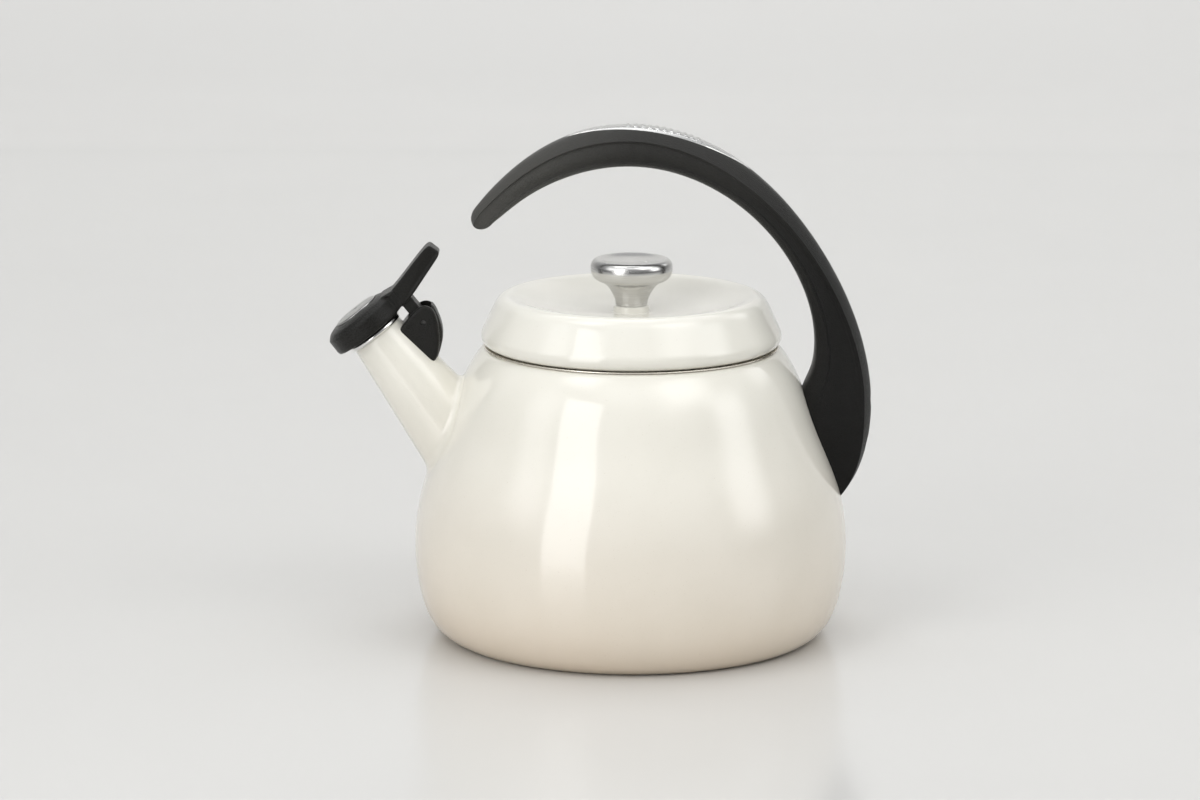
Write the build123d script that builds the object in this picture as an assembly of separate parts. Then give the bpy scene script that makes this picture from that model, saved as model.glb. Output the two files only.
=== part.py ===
from build123d import *
import math
import os

# Stovetop whistling kettle: enamelled steel body on a flat base, cone spout with a
# sprung whistle cap, lift-off lid with a steel knob, and a handle fixed at the back only.
# Millimetres. +Z up, origin at the centre of the flat base on the body's axis.
# The spout points to -X, the handle is fixed at +X, and the object is symmetric about Y = 0.

# ---------------------------------------------------------------- driving dimensions
WALL = 1.6                # enamelled steel wall of the body and the spout
LID_WALL = 1.2            # enamelled steel of the lid
BASE_SEAM_R = 80.0        # seam between the drawn body and its base plate
BASE_T = 1.8
NECK_R = 60.0             # opening in the top of the body
NECK_TOP_Z = 130.5
SEAT_GAP = 0.05           # hairline between the body's wall and the pieces fixed to it
SPOUT_ANGLE = 52.0        # spout axis above the horizontal
MOUTH_X, MOUTH_Z = -113.55, 135.2
MOUTH_R = 12.35           # outside radius of the spout at its mouth
SPOUT_TAPER = 0.12        # radius gained per mm towards the body
CAP_R = 17.9
CAP_OFF = -1.1            # the cap's centre lies a little outside the spout's axis
CAP_LOW = 3.3
LEVER_HALF_W = 6.9
PIN_X, PIN_Z = -92.7, 141.9
PIN_R = 1.0
PIN_LENGTH = 13.4         # its ends lie a little below the cheeks
HUB_BORE_R = 1.06         # running clearance of 0.06 on the pin
HUB_R = 3.1
HOUSING_HALF_W = 8.0
POCKET_HALF_W = 5.8
ARM_HALF_W = 5.45
SKIRT_R = 58.7            # lid skirt, outside
SKIRT_LOW_Z = 119.0
KNOB_R = 18.35
INLAY_HALF_W = 6.5
FOOT_X, FOOT_Z = 85.05, 89.0   # point on the body's wall at the middle of the handle's foot
FOOT_TILT = 20.6               # wall's outward normal above the horizontal there
FOOT_SCREW_PITCH = 18.0

os.makedirs("parts", exist_ok=True)


# ---------------------------------------------------------------- helpers
def V(r, z):
    return Vector(r, 0, z)


def poly_edges(pts):
    return [Edge.make_line(V(*a), V(*b)) for a, b in zip(pts, pts[1:])]


def spline(pts, tangents=None):
    return Edge.make_spline([V(*p) for p in pts], tangents=tangents)


def face_of(edges):
    return Face(Wire(edges))


def ring(pts):
    """Solid of revolution about the Z axis from a closed outline of straight sides."""
    return revolve(face_of(poly_edges(list(pts) + [pts[0]])), Axis.Z)


def offset_points(pts, d):
    """Points moved d to the left of the line through them (r, z)."""
    out = []
    n = len(pts)
    for i, (r, z) in enumerate(pts):
        a = pts[max(i - 1, 0)]
        b = pts[min(i + 1, n - 1)]
        dr, dz = b[0] - a[0], b[1] - a[1]
        m = math.hypot(dr, dz)
        out.append((r - d * dz / m, z + d * dr / m))
    return out


def extrude_xz(pts, half_w, y_mid=0.0):
    """Outline in the XZ plane, thickened to half_w each side of Y = y_mid."""
    f = face_of(poly_edges(list(pts) + [pts[0]]))
    s = extrude(f, amount=half_w, dir=(0, 1, 0), both=True)
    return Pos(0, y_mid, 0) * s


def solid_of(shape):
    s = shape.solids()
    if len(s) == 1:
        return s[0]
    return Compound(children=list(s))


PARTS = {}


def keep(name, shape):
    PARTS[name] = solid_of(shape)
    export_step(PARTS[name], "parts/" + name + ".step")


# ---------------------------------------------------------------- frames
_a = math.radians(SPOUT_ANGLE)
SPOUT = Plane(origin=(MOUTH_X, 0, MOUTH_Z),
              x_dir=(math.sin(_a), 0, math.cos(_a)),
              z_dir=(-math.cos(_a), 0, math.sin(_a)))
AT_SPOUT = SPOUT.location
AT_CAP = AT_SPOUT * Pos(CAP_OFF, 0, 0)


def spout_xz(u, h):
    """(u across, h along the spout's axis) to the kettle's X and Z."""
    return (MOUTH_X + u * math.sin(_a) - h * math.cos(_a),
            MOUTH_Z + u * math.cos(_a) + h * math.sin(_a))


# ---------------------------------------------------------------- body and base
BODY = [(82.10, 0.00), (86.92, 3.13), (90.42, 7.39), (92.87, 12.46), (94.55, 18.04),
        (95.70, 23.82), (96.51, 29.62), (96.97, 35.42), (97.08, 41.21), (96.85, 46.97),
        (96.28, 52.69), (95.36, 58.36), (94.11, 63.98), (92.51, 69.52), (90.61, 74.99),
        (88.51, 80.41), (86.31, 85.81), (84.11, 91.21), (82.02, 96.62), (80.11, 102.07),
        (78.27, 107.52), (76.30, 112.93), (74.02, 118.24), (71.30, 123.34), (68.01, 128.13)]
SHOULDER = [(68.01, 128.13), (66.95, 129.22), (65.80, 129.96), (64.60, 130.34), (63.60, 130.46), (62.60, NECK_TOP_Z)]

inner_low = offset_points(BODY, WALL)[2:]
inner_low = [p for p in inner_low]
outer_wall = BODY + SHOULDER[1:]
inner_wall = offset_points(outer_wall, WALL)
inner_wall = [(BASE_SEAM_R + 2.2, WALL + 0.05)] + inner_wall[2:-3] + [(62.60, NECK_TOP_Z - WALL)]

body_face = face_of(
    [spline(outer_wall)]
    + poly_edges([outer_wall[-1], (NECK_R, NECK_TOP_Z), (NECK_R, NECK_TOP_Z - WALL), inner_wall[-1]])
    + [spline(inner_wall)]
    + poly_edges([inner_wall[0], (BASE_SEAM_R, WALL + 0.05), (BASE_SEAM_R, 0), outer_wall[0]])
)
shell = revolve(body_face, Axis.Z)

core_face = face_of(
    [spline(outer_wall)]
    + poly_edges([outer_wall[-1], (0, NECK_TOP_Z), (0, 0), outer_wall[0]])
)
body_core = revolve(core_face, Axis.Z)          # the body's outside as one block
fit_wall = offset_points(outer_wall, -SEAT_GAP)
fit_wall[0] = (outer_wall[0][0] + SEAT_GAP, 0.0)
fit_wall[-1] = (outer_wall[-1][0], NECK_TOP_Z + SEAT_GAP)
seat_core = revolve(face_of(
    [spline(fit_wall)]
    + poly_edges([fit_wall[-1], (0, NECK_TOP_Z + SEAT_GAP), (0, 0), fit_wall[0]])
), Axis.Z)                                      # the same block with the weld's hairline round it

# spout: a hollow cone from inside the body's outline to the mouth
H_IN = -92.0


def spout_r(h):
    return MOUTH_R - SPOUT_TAPER * h


def cone(r0, h0, r1, h1):
    f = face_of(poly_edges([(0, h0), (r0, h0), (r1, h1), (0, h1), (0, h0)]))
    return revolve(f, Axis.Z)


spout_out = AT_SPOUT * cone(spout_r(H_IN), H_IN, spout_r(0.5), 0.5)
spout_bore = AT_SPOUT * cone(spout_r(H_IN) - WALL, H_IN, spout_r(1.0) - WALL, 1.0)
shell = shell - spout_bore
spout_tube = (spout_out - spout_bore) - seat_core

base_pan = ring([(0, 0), (BASE_SEAM_R - 0.03, 0), (BASE_SEAM_R - 0.03, BASE_T + 3.0),
                 (BASE_SEAM_R - 1.4, BASE_T + 3.0), (BASE_SEAM_R - 1.4, BASE_T), (0, BASE_T)])

neck_ring = ring([(59.40, 124.0), (59.97, 124.0), (59.97, NECK_TOP_Z + 0.02),
                  (66.00, NECK_TOP_Z + 0.02), (66.35, 130.70), (66.00, 130.90), (59.40, 130.90)])
mouth_ring = AT_SPOUT * ring([(10.0, -5.0), (10.55, -5.0), (10.55, 0.55), (13.00, 0.45),
                              (13.40, 1.10), (13.30, 2.20), (12.50, 2.60), (10.0, 2.60)])

# ---------------------------------------------------------------- handle
# outer and inner edge of the handle in the XZ plane, and half its width, from tip to foot
STATIONS = [
    ((-71.95, 188.90), (-67.60, 183.70), 4.30), ((-71.30, 190.60), (-64.80, 184.60), 5.10),
    ((-69.87, 192.27), (-61.78, 186.00), 5.88), ((-65.25, 197.87), (-56.24, 190.64), 7.29),
    ((-60.19, 203.28), (-51.16, 194.82), 8.30), ((-54.64, 208.52), (-45.82, 198.64), 9.13),
    ((-48.83, 213.31), (-40.29, 201.96), 9.84), ((-42.77, 217.58), (-34.58, 204.81), 10.48),
    ((-36.33, 221.32), (-28.66, 207.23), 11.04), ((-29.65, 224.39), (-22.71, 209.16), 11.50),
    ((-22.85, 226.73), (-16.84, 210.60), 11.86), ((-15.68, 228.42), (-10.86, 211.60), 12.14),
    ((-8.31, 229.39), (-4.87, 212.12), 12.34), ((-1.00, 229.64), (0.96, 212.16), 12.47),
    ((6.42, 229.21), (6.82, 211.74), 12.54), ((13.64, 228.14), (12.53, 210.87), 12.58),
    ((20.67, 226.47), (18.12, 209.56), 12.58), ((27.47, 224.25), (23.60, 207.85), 12.56),
    ((34.02, 221.52), (28.95, 205.74), 12.53), ((40.27, 218.32), (34.15, 203.26), 12.49),
    ((46.12, 214.78), (39.09, 200.50), 12.45), ((51.54, 210.97), (43.74, 197.50), 12.41),
    ((56.70, 206.83), (48.23, 194.21), 12.36), ((61.63, 202.37), (52.54, 190.63), 12.32),
    ((66.32, 197.66), (56.65, 186.79), 12.27), ((70.73, 192.75), (60.48, 182.74), 12.21),
    ((74.91, 187.67), (64.05, 178.51), 12.14), ((78.93, 182.33), (67.39, 174.00), 12.07),
    ((82.70, 176.89), (70.39, 169.37), 11.99), ((86.27, 171.28), (73.10, 164.58), 11.90),
    ((89.63, 165.52), (75.48, 159.63), 11.80), ((92.79, 159.58), (77.53, 154.55), 11.70),
    ((95.77, 153.37), (79.24, 149.27), 11.61), ((98.54, 146.88), (80.56, 143.82), 11.51),
    ((101.00, 140.23), (81.43, 138.37), 11.44), ((103.15, 133.33), (81.84, 132.88), 11.39),
    ((104.96, 126.05), (81.66, 127.26), 11.37), ((106.33, 118.52), (80.62, 121.45), 11.36),
    ((107.18, 110.71), (78.06, 115.09), 11.32), ((107.41, 102.68), (75.63, 107.89), 11.21),
    ((106.93, 94.57), (76.25, 99.72), 10.92), ((105.61, 86.43), (79.39, 90.63), 10.33),
    ((103.37, 78.53), (82.87, 81.15), 9.30), ((100.14, 71.06), (85.49, 72.12), 7.66),
    ((95.81, 64.14), (87.37, 64.66), 5.23), ((93.85, 61.70), (88.14, 62.54), 4.05),
]
RIDGE = [(0, .30), (2, .27), (9, .29), (14, .34), (20, .38), (23, .35), (26, .30), (30, .24),
         (34, .17), (38, .10), (45, .10)]


def lerp(table, x):
    for (x0, y0), (x1, y1) in zip(table, table[1:]):
        if x <= x1:
            return y0 + (y1 - y0) * (x - x0) / (x1 - x0)
    return table[-1][1]


def grip_section(i):
    (ox, oz), (ix, iz), w = STATIONS[i]
    dx, dz = ix - ox, iz - oz
    ridge = lerp(RIDGE, i)
    shape = [(0.0, 0.30), (0.45 * ridge, 0.75), (ridge, 1.0), (0.66, 0.80), (0.95, 0.74), (1.0, 0.52)]
    pts = [(t, s * w) for t, s in shape] + [(t, -s * w) for t, s in reversed(shape)]
    vs = [Vector(ox + t * dx, y, oz + t * dz) for t, y in pts]
    return Wire([Edge.make_line(a, b) for a, b in zip(vs, vs[1:] + vs[:1])])


ORDER = list(range(0, 3)) + list(range(4, 39, 2)) + list(range(39, len(STATIONS)))
grip = Solid.make_loft([grip_section(i) for i in ORDER], ruled=False)
grip = grip - seat_core

# steel bracket welded to the wall, hidden in the foot
_f = math.radians(FOOT_TILT)
FOOT = Plane(origin=(FOOT_X, 0, FOOT_Z), x_dir=(-math.sin(_f), 0, math.cos(_f)),
             z_dir=(math.cos(_f), 0, math.sin(_f))).location
bracket = FOOT * (Pos(1.5, 0, 0.5) * Box(29, 14, 7.0)) - seat_core
pocket = FOOT * (Pos(1.5, 0, 0.5) * Box(29.3, 14.3, 7.3))
grip = grip - pocket
screws = []
for s in (-1, 1):
    at = FOOT * Pos(s * FOOT_SCREW_PITCH / 2, 0, 0)
    bracket = bracket - at * (Pos(0, 0, 2.5) * Cylinder(2.0, 8))
    grip = grip - at * (Pos(0, 0, 7) * Cylinder(2.2, 8)) - at * (Pos(0, 0, 29) * Cylinder(4.0, 40))
    shank = Pos(0, 0, 5.0) * Cylinder(1.97, 8.2)
    head = Pos(0, 0, 10.3) * Cylinder(3.6, 2.5)
    cross = Pos(0, 0, 11.2) * Box(4.4, 0.9, 1.5) + Pos(0, 0, 11.2) * Box(0.9, 4.4, 1.5)
    screws.append((at * ((shank + head) - cross)).solids()[0])

# bright strip let into the crown
IN0, IN1 = 9, 21
top_line = []
for i in range(IN0, IN1 + 1):
    (ox, oz), (ix, iz), w = STATIONS[i]
    dx, dz = ix - ox, iz - oz
    m = math.hypot(dx, dz)
    top_line.append((ox, oz, dx / m, dz / m))
strip_top = [(x - 0.55 * a, z - 0.55 * b) for x, z, a, b in top_line]
strip_low = [(x + 1.9 * a, z + 1.9 * b) for x, z, a, b in top_line]
strip_face = face_of([spline(strip_top)] + poly_edges([strip_top[-1], strip_low[-1]])
                     + [spline(list(reversed(strip_low)))] + poly_edges([strip_low[0], strip_top[0]]))
strip_bar = extrude(strip_face, amount=INLAY_HALF_W + 2, dir=(0, 1, 0), both=True)


def leaf(grow):
    xs = [(-28.2, 0.0), (-25, 2.4), (-17, 4.6), (-4, 6.1), (11, INLAY_HALF_W), (26, 6.1), (38, 4.7), (47, 2.4), (51.0, 0.0)]
    up = [(x + (grow if x > 10 else -grow) * (1 if abs(y) < 0.1 else 0), y + (grow if y > 0 else 0)) for x, y in xs]
    pts = [Vector(x, y, 190) for x, y in up] + [Vector(x, -y, 190) for x, y in reversed(up[1:-1])]
    f = Face(Wire([Edge.make_line(a, b) for a, b in zip(pts, pts[1:] + pts[:1])]))
    return extrude(f, amount=60, dir=(0, 0, 1))


inlay = strip_bar & leaf(0.0)
grip = grip - (strip_bar & leaf(0.03))

# ---------------------------------------------------------------- hinge on the spout
housing = extrude_xz([(-103.5, 136.9), (-103.3, 138.8), (-100.2, 143.0), (-95.6, 148.2), (-93.0, 149.8), (-91.1, 150.1),
                      (-88.9, 149.3), (-87.2, 147.0), (-85.7, 143.3), (-84.3, 137.0), (-84.7, 130.8), (-86.3, 125.2),
                      (-88.4, 122.6), (-97.0, 128.0)], HOUSING_HALF_W)
round_back = [e for e in housing.edges().filter_by(GeomType.LINE)
              if abs(abs(e.center().Y) - HOUSING_HALF_W) < 1e-6 and e.center().X > -89 and e.center().Z < 146.5
              and e.center().X > -88.0 + 0 and e.center().Z > 123.5]
try:
    housing = fillet(round_back, 2.2)
except Exception:
    pass
pocket = extrude_xz([(-90.4, 156.0), (-90.2, 146.4), (-87.9, 142.3), (-86.3, 137.0), (-86.6, 131.4),
                     (-87.3, 130.7), (-100.4, 143.8), (-103.0, 150.0), (-98.0, 157.0)], POCKET_HALF_W)
housing = housing - pocket - spout_out
pin_hole = Pos(PIN_X, 0, PIN_Z) * Rot(90, 0, 0) * Cylinder(PIN_R + 0.02, 30)
housing = housing - pin_hole
hinge_pin = Pos(PIN_X, 0, PIN_Z) * Rot(90, 0, 0) * Cylinder(PIN_R, PIN_LENGTH)

LUG = Plane(origin=(-92.6, 0, 131.75), x_dir=(0.70710678, 0, -0.70710678),
            z_dir=(0.70710678, 0, 0.70710678)).location
lug = LUG * (Pos(0, 0, 0.6) * Cylinder(2.9, 3.2)) - spout_out - LUG * (Pos(0, 0, 2.0) * Cylinder(1.25, 4.0))
housing = housing - LUG * (Pos(0, 0, -0.2) * Cylinder(3.0, 4.9)) - LUG * (Pos(0, 0, 2) * Cylinder(1.4, 6))
hinge_screw = LUG * (Pos(0, 0, 1.7) * Cylinder(1.22, 2.8) + Pos(0, 0, 3.75) * Cylinder(2.3, 1.35))
hinge_screw = hinge_screw - LUG * (Pos(0, 0, 4.3) * Box(3.2, 0.6, 0.9))

# torsion spring round the pin between the two lugs of the arm: coil body and two legs
PX, PZ = PIN_X, PIN_Z
coil = Pos(PX, 0, PZ) * Rot(90, 0, 0) * (Cylinder(2.55, 5.2) - Cylinder(1.75, 7))
leg_a = extrude_xz([(PX + 0.2, PZ - 1.80), (PX + 4.1, PZ - 2.6), (PX + 4.1, PZ - 1.9), (PX + 0.6, PZ - 1.78)],
                   0.35, -2.2)
p0, p1 = spout_xz(18.6, -7.3), spout_xz(18.9, -4.0)
p2, p3 = spout_xz(18.2, -4.0), spout_xz(17.95, -7.3)
leg_b = extrude_xz([p0, p1, p2, p3], 0.35, 2.2)
spring = coil + leg_a + leg_b

# ---------------------------------------------------------------- whistle cap
cap = ring([(CAP_R - 0.1, CAP_LOW), (CAP_R, CAP_LOW + 0.6), (CAP_R - 0.05, 9.9), (CAP_R - 0.6, 11.0),
            (15.8, 12.3), (13.0, 13.4), (10.62, 13.95), (10.62, 13.30), (4.5, 13.30), (4.5, 11.5),
            (15.7, 11.5), (15.7, CAP_LOW)])
cap = AT_CAP * cap
lever_uh = [(13.9, 12.2), (16.4, 12.4), (27.6, 14.8), (39.5, 17.8), (42.0, 18.2), (43.4, 17.7), (44.7, 16.2), (45.3, 13.4),
            (44.2, 11.9), (33.3, 9.0), (22.4, 5.6), (17.9, 4.1), (15.9, 3.7), (14.9, 5.0), (14.9, 11.0)]
lever = extrude_xz([spout_xz(u, h) for u, h in lever_uh], LEVER_HALF_W)
plan = AT_SPOUT * (Pos(24, 0, 10) * Box(30.8, 2 * LEVER_HALF_W, 40) + Pos(39.4, 0, 10) * Cylinder(6.0, 40)
                   + Pos(37.0, 0, 10) * Box(5.0, 2 * LEVER_HALF_W - 0.6, 40))
lever = lever & plan
arm_uh = [(17.6, 6.0), (22.4, 7.0), (22.6, -1.5), (23.6, -7.0), (22.0, -9.5), (19.0, -9.5), (17.5, -7.0), (17.6, -1.8)]
arm = extrude_xz([spout_xz(u, h) for u, h in arm_uh], ARM_HALF_W)
hub = Pos(PX, 0, PZ) * Rot(90, 0, 0) * Cylinder(HUB_R, 2 * ARM_HALF_W)
slot_uh = [(15.0, -3.4), (25.5, -3.4), (25.5, -13.0), (15.0, -13.0)]
slot = extrude_xz([spout_xz(u, h) for u, h in slot_uh], 3.0)
trim = AT_CAP * (Pos(0, 0, 7.4) * Cylinder(15.7, 8.2))       # keeps the lever and arm out of the cap's inside
cap = cap + (lever - trim) + ((arm + hub) - slot - trim)
cap = cap - Pos(PX, 0, PZ) * Rot(90, 0, 0) * Cylinder(HUB_BORE_R, 30)

disc_pts = [(1.2, 13.36), (10.5, 13.36), (10.5, 13.95), (9.0, 14.35), (6.0, 14.70), (3.0, 14.88), (1.2, 14.92)]
cap_disc = AT_CAP * ring(disc_pts)
plate_up = AT_CAP * ring([(1.5, 9.62), (11.1, 9.62), (11.1, 10.5), (10.5, 10.5), (10.5, 10.22), (1.5, 10.22)])
plate_low = AT_CAP * ring([(1.5, 6.68), (10.5, 6.68), (10.5, 6.4), (11.1, 6.4), (11.1, 7.28), (1.5, 7.28)])
retainer = AT_CAP * ring([(11.16, 4.9), (15.62, 4.9), (15.62, 11.42), (11.16, 11.42), (11.16, 9.56),
                          (9.6, 9.56), (9.6, 7.34), (11.16, 7.34)])
gasket = AT_CAP * ring([(9.9, 2.9), (14.4, 2.9), (14.8, 3.3), (14.8, 4.85), (9.9, 4.85)])

# ---------------------------------------------------------------- lid
LID_OUT = [(59.1, 131.15), (62.7, 131.15), (64.6, 131.6), (66.2, 133.0), (67.0, 134.6), (67.15, 135.4),
           (66.8, 137.3), (65.0, 141.2), (63.0, 145.5), (61.0, 149.8), (59.9, 151.7), (58.1, 153.1),
           (55.8, 153.6), (52.0, 152.9), (46.0, 151.0), (38.0, 148.9), (28.0, 147.1), (18.0, 146.1),
           (10.5, 145.75), (8.6, 145.9), (7.95, 146.6), (7.75, 148.2), (7.4, 148.8), (6.8, 149.0),
           (2.3, 149.0)]
LID_IN = offset_points(LID_OUT, LID_WALL)
LID_IN[0] = (59.1, 131.15 + LID_WALL)
LID_IN[-1] = (2.3, 149.0 - LID_WALL)
# a small boss keeps its wall
LID_IN = LID_IN[:19] + [(7.3, 144.7), (6.75, 145.4), (6.5, 146.4), (6.45, 147.3), (6.0, 147.8)] + LID_IN[-1:]
lid_shell = ring(LID_OUT + list(reversed(LID_IN)))
lid_skirt = ring([(SKIRT_R, SKIRT_LOW_Z), (SKIRT_R, 132.42), (61.6, 132.42), (61.6, 133.05),
                  (SKIRT_R - 0.7, 133.05), (SKIRT_R - 0.7, SKIRT_LOW_Z)])
KNOB = [(2.02, 149.05), (7.0, 149.05), (7.25, 150.2), (7.75, 151.6), (8.35, 153.0), (9.0, 154.6), (9.8, 156.0),
        (11.1, 157.8), (12.6, 159.2), (14.6, 160.1), (16.4, 161.2), (17.6, 162.8), (18.2, 164.4), (KNOB_R, 165.8),
        (18.15, 167.4), (17.5, 168.9), (16.5, 169.8), (15.4, 170.0), (14.2, 169.7), (11.0, 168.8), (7.0, 168.15),
        (0.0, 167.9), (0.0, 162.5), (2.02, 162.5)]
knob = ring(KNOB)
knob_screw = ring([(0, 144.0), (3.6, 144.0), (4.2, 144.6), (4.2, 146.7), (2.0, 146.7), (2.0, 161.5), (0, 161.5)])
knob_screw = knob_screw - Pos(0, 0, 144.4) * (Box(5.0, 0.9, 1.4) + Box(0.9, 5.0, 1.4))
knob_washer = ring([(2.1, 146.75), (5.4, 146.75), (5.4, 147.75), (2.1, 147.75)])

# ---------------------------------------------------------------- write the pieces
keep("body_shell", shell)
keep("base_pan", base_pan)
keep("spout_tube", spout_tube)
keep("spout_mouth_ring", mouth_ring)
keep("neck_rim_ring", neck_ring)
keep("handle_grip", grip)
keep("handle_inlay_strip", inlay)
keep("handle_bracket", bracket)
PARTS["handle_screws"] = Compound(children=screws)
export_step(PARTS["handle_screws"], "parts/handle_screws.step")
keep("hinge_housing", housing)
keep("hinge_stud_boss", lug)
keep("hinge_screw", hinge_screw)
keep("hinge_pin", hinge_pin)
keep("cap_torsion_spring", spring)
keep("whistle_cap_body", cap)
keep("cap_top_disc", cap_disc)
keep("whistle_plate_upper", plate_up)
keep("whistle_plate_lower", plate_low)
keep("whistle_retainer", retainer)
keep("cap_gasket", gasket)
keep("lid_shell", lid_shell)
keep("lid_skirt", lid_skirt)
keep("knob", knob)
keep("knob_screw", knob_screw)
keep("knob_lock_washer", knob_washer)

for name, s in PARTS.items():
    bb = s.bounding_box()
    print("%-22s solids %d  vol %9.1f  valid %s  X %.1f..%.1f Y %.1f..%.1f Z %.1f..%.1f" % (
        name, len(s.solids()), s.volume, s.is_valid if isinstance(s.is_valid, bool) else s.is_valid(),
        bb.min.X, bb.max.X, bb.min.Y, bb.max.Y, bb.min.Z, bb.max.Z))
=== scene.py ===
import math
import bmesh
import bpy
import numpy as np
from mathutils import Matrix, Vector


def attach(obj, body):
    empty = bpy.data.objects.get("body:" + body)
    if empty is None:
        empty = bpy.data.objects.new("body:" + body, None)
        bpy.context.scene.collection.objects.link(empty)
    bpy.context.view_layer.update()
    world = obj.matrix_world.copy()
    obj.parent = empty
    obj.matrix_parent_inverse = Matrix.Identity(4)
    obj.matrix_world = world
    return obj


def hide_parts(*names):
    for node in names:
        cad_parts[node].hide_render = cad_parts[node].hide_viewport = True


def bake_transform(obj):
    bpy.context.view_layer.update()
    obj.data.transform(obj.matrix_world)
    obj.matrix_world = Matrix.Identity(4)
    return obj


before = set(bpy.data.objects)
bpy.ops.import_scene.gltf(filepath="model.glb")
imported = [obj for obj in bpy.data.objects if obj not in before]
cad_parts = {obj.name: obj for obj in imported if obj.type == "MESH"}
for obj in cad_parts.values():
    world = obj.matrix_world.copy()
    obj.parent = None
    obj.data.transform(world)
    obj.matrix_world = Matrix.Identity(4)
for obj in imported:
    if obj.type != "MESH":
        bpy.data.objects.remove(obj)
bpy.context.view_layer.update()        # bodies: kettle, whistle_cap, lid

MM = 0.001
COL = bpy.context.scene.collection

# ------------------------------------------------------------------ curves in 2D


def de_boor(ctrl, knots, n, k=3):
    ctrl, u = np.array(ctrl, float), np.array(knots, float)
    out = []
    for t in np.linspace(u[k], u[-k - 1], n):
        s = min(max(int(np.searchsorted(u, t, side="right")) - 1, k), len(ctrl) - 1)
        d = [ctrl[j].copy() for j in range(s - k, s + 1)]
        for r in range(1, k + 1):
            for j in range(k, r - 1, -1):
                den = u[j + 1 + s - r] - u[j + s - k]
                a = 0.0 if den == 0 else (t - u[j + s - k]) / den
                d[j] = (1 - a) * d[j - 1] + a * d[j]
        out.append(d[k])
    return np.array(out)


def natural(xs, ys, x):
    """Natural cubic spline of ys (n or n x m) over xs, at x."""
    xs, ys, x = np.array(xs, float), np.array(ys, float), np.array(x, float)
    if ys.ndim == 1:
        ys = ys[:, None]
    n = len(xs)
    h = np.diff(xs)
    a = np.zeros((n, n))
    b = np.zeros((n, ys.shape[1]))
    a[0, 0] = a[-1, -1] = 1
    for i in range(1, n - 1):
        a[i, i - 1], a[i, i], a[i, i + 1] = h[i - 1], 2 * (h[i - 1] + h[i]), h[i]
        b[i] = 6 * ((ys[i + 1] - ys[i]) / h[i] - (ys[i] - ys[i - 1]) / h[i - 1])
    m = np.linalg.solve(a, b)
    i = np.clip(np.searchsorted(xs, x, side="right") - 1, 0, n - 2)
    hi = h[i][:, None]
    l, r = (xs[i + 1] - x)[:, None], (x - xs[i])[:, None]
    out = (m[i] * l**3 / (6 * hi) + m[i + 1] * r**3 / (6 * hi)
           + (ys[i] / hi - m[i] * hi / 6) * l + (ys[i + 1] / hi - m[i + 1] * hi / 6) * r)
    return out[:, 0] if out.shape[1] == 1 else out


def through(pts, n):
    """n points on a smooth curve through pts."""
    p = np.array(pts, float)
    t = np.r_[0, np.cumsum(np.sqrt(np.hypot(*np.diff(p, axis=0).T)))]
    return natural(t, p, np.linspace(0, t[-1], n))


def bezier(p0, p1, p2, p3, n):
    t = np.linspace(0, 1, n)[:, None]
    p0, p1, p2, p3 = (np.array(p, float) for p in (p0, p1, p2, p3))
    return (1 - t)**3 * p0 + 3 * t * (1 - t)**2 * p1 + 3 * t * t * (1 - t) * p2 + t**3 * p3


def rounded(pts, radii, steps=6, closed=True):
    """Corners of a polyline replaced with arcs. radii: one number or one per point."""
    p = [np.array(q, float) for q in pts]
    n = len(p)
    if not hasattr(radii, "__len__"):
        radii = [radii] * n
    out = []
    for i in range(n):
        if not closed and i in (0, n - 1) or radii[i] <= 0:
            out.append(p[i])
            continue
        a, b, c = p[i - 1], p[i], p[(i + 1) % n]
        u, v = (a - b), (c - b)
        lu, lv = np.linalg.norm(u), np.linalg.norm(v)
        if lu < 1e-9 or lv < 1e-9:
            out.append(b)
            continue
        u, v = u / lu, v / lv
        half = math.acos(max(-1, min(1, float(u @ v)))) / 2
        if half > math.pi / 2 - 0.03:
            out.append(b)
            continue
        d = min(radii[i] / math.tan(half), 0.49 * lu, 0.49 * lv)
        r = d * math.tan(half)
        centre = b + (u + v) / np.linalg.norm(u + v) * (r / math.sin(half))
        s, e = b + u * d - centre, b + v * d - centre
        turn = math.pi - 2 * half
        k = max(2, int(round(steps * turn / (math.pi / 2))) + 1)
        for j in range(k + 1):
            t = j / k
            w = (math.sin((1 - t) * turn) * s + math.sin(t * turn) * e) / math.sin(turn)
            out.append(centre + w)
    return np.array(out)


# ------------------------------------------------------------------ meshes


def finish_mesh(me, sharp=32.0, weld=1e-7):
    bm = bmesh.new()
    bm.from_mesh(me)
    bmesh.ops.remove_doubles(bm, verts=bm.verts, dist=weld)
    bmesh.ops.dissolve_degenerate(bm, edges=bm.edges, dist=1e-8)
    loose = [v for v in bm.verts if not v.link_faces]
    bmesh.ops.delete(bm, geom=loose, context="VERTS")
    bmesh.ops.recalc_face_normals(bm, faces=bm.faces)
    lim = math.radians(sharp)
    for f in bm.faces:
        f.smooth = True
    for e in bm.edges:
        e.smooth = len(e.link_faces) == 2 and e.calc_face_angle(0.0) < lim
    bm.to_mesh(me)
    bm.free()
    me.update()


def make(name, verts_mm, faces, mat, sharp=32.0):
    me = bpy.data.meshes.new(name)
    me.from_pydata([tuple(float(c) * MM for c in v) for v in verts_mm], [], [tuple(int(i) for i in f) for f in faces])
    finish_mesh(me, sharp)
    o = bpy.data.objects.new(name, me)
    COL.objects.link(o)
    if mat is not None:
        me.materials.append(mat)
    return o


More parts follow.
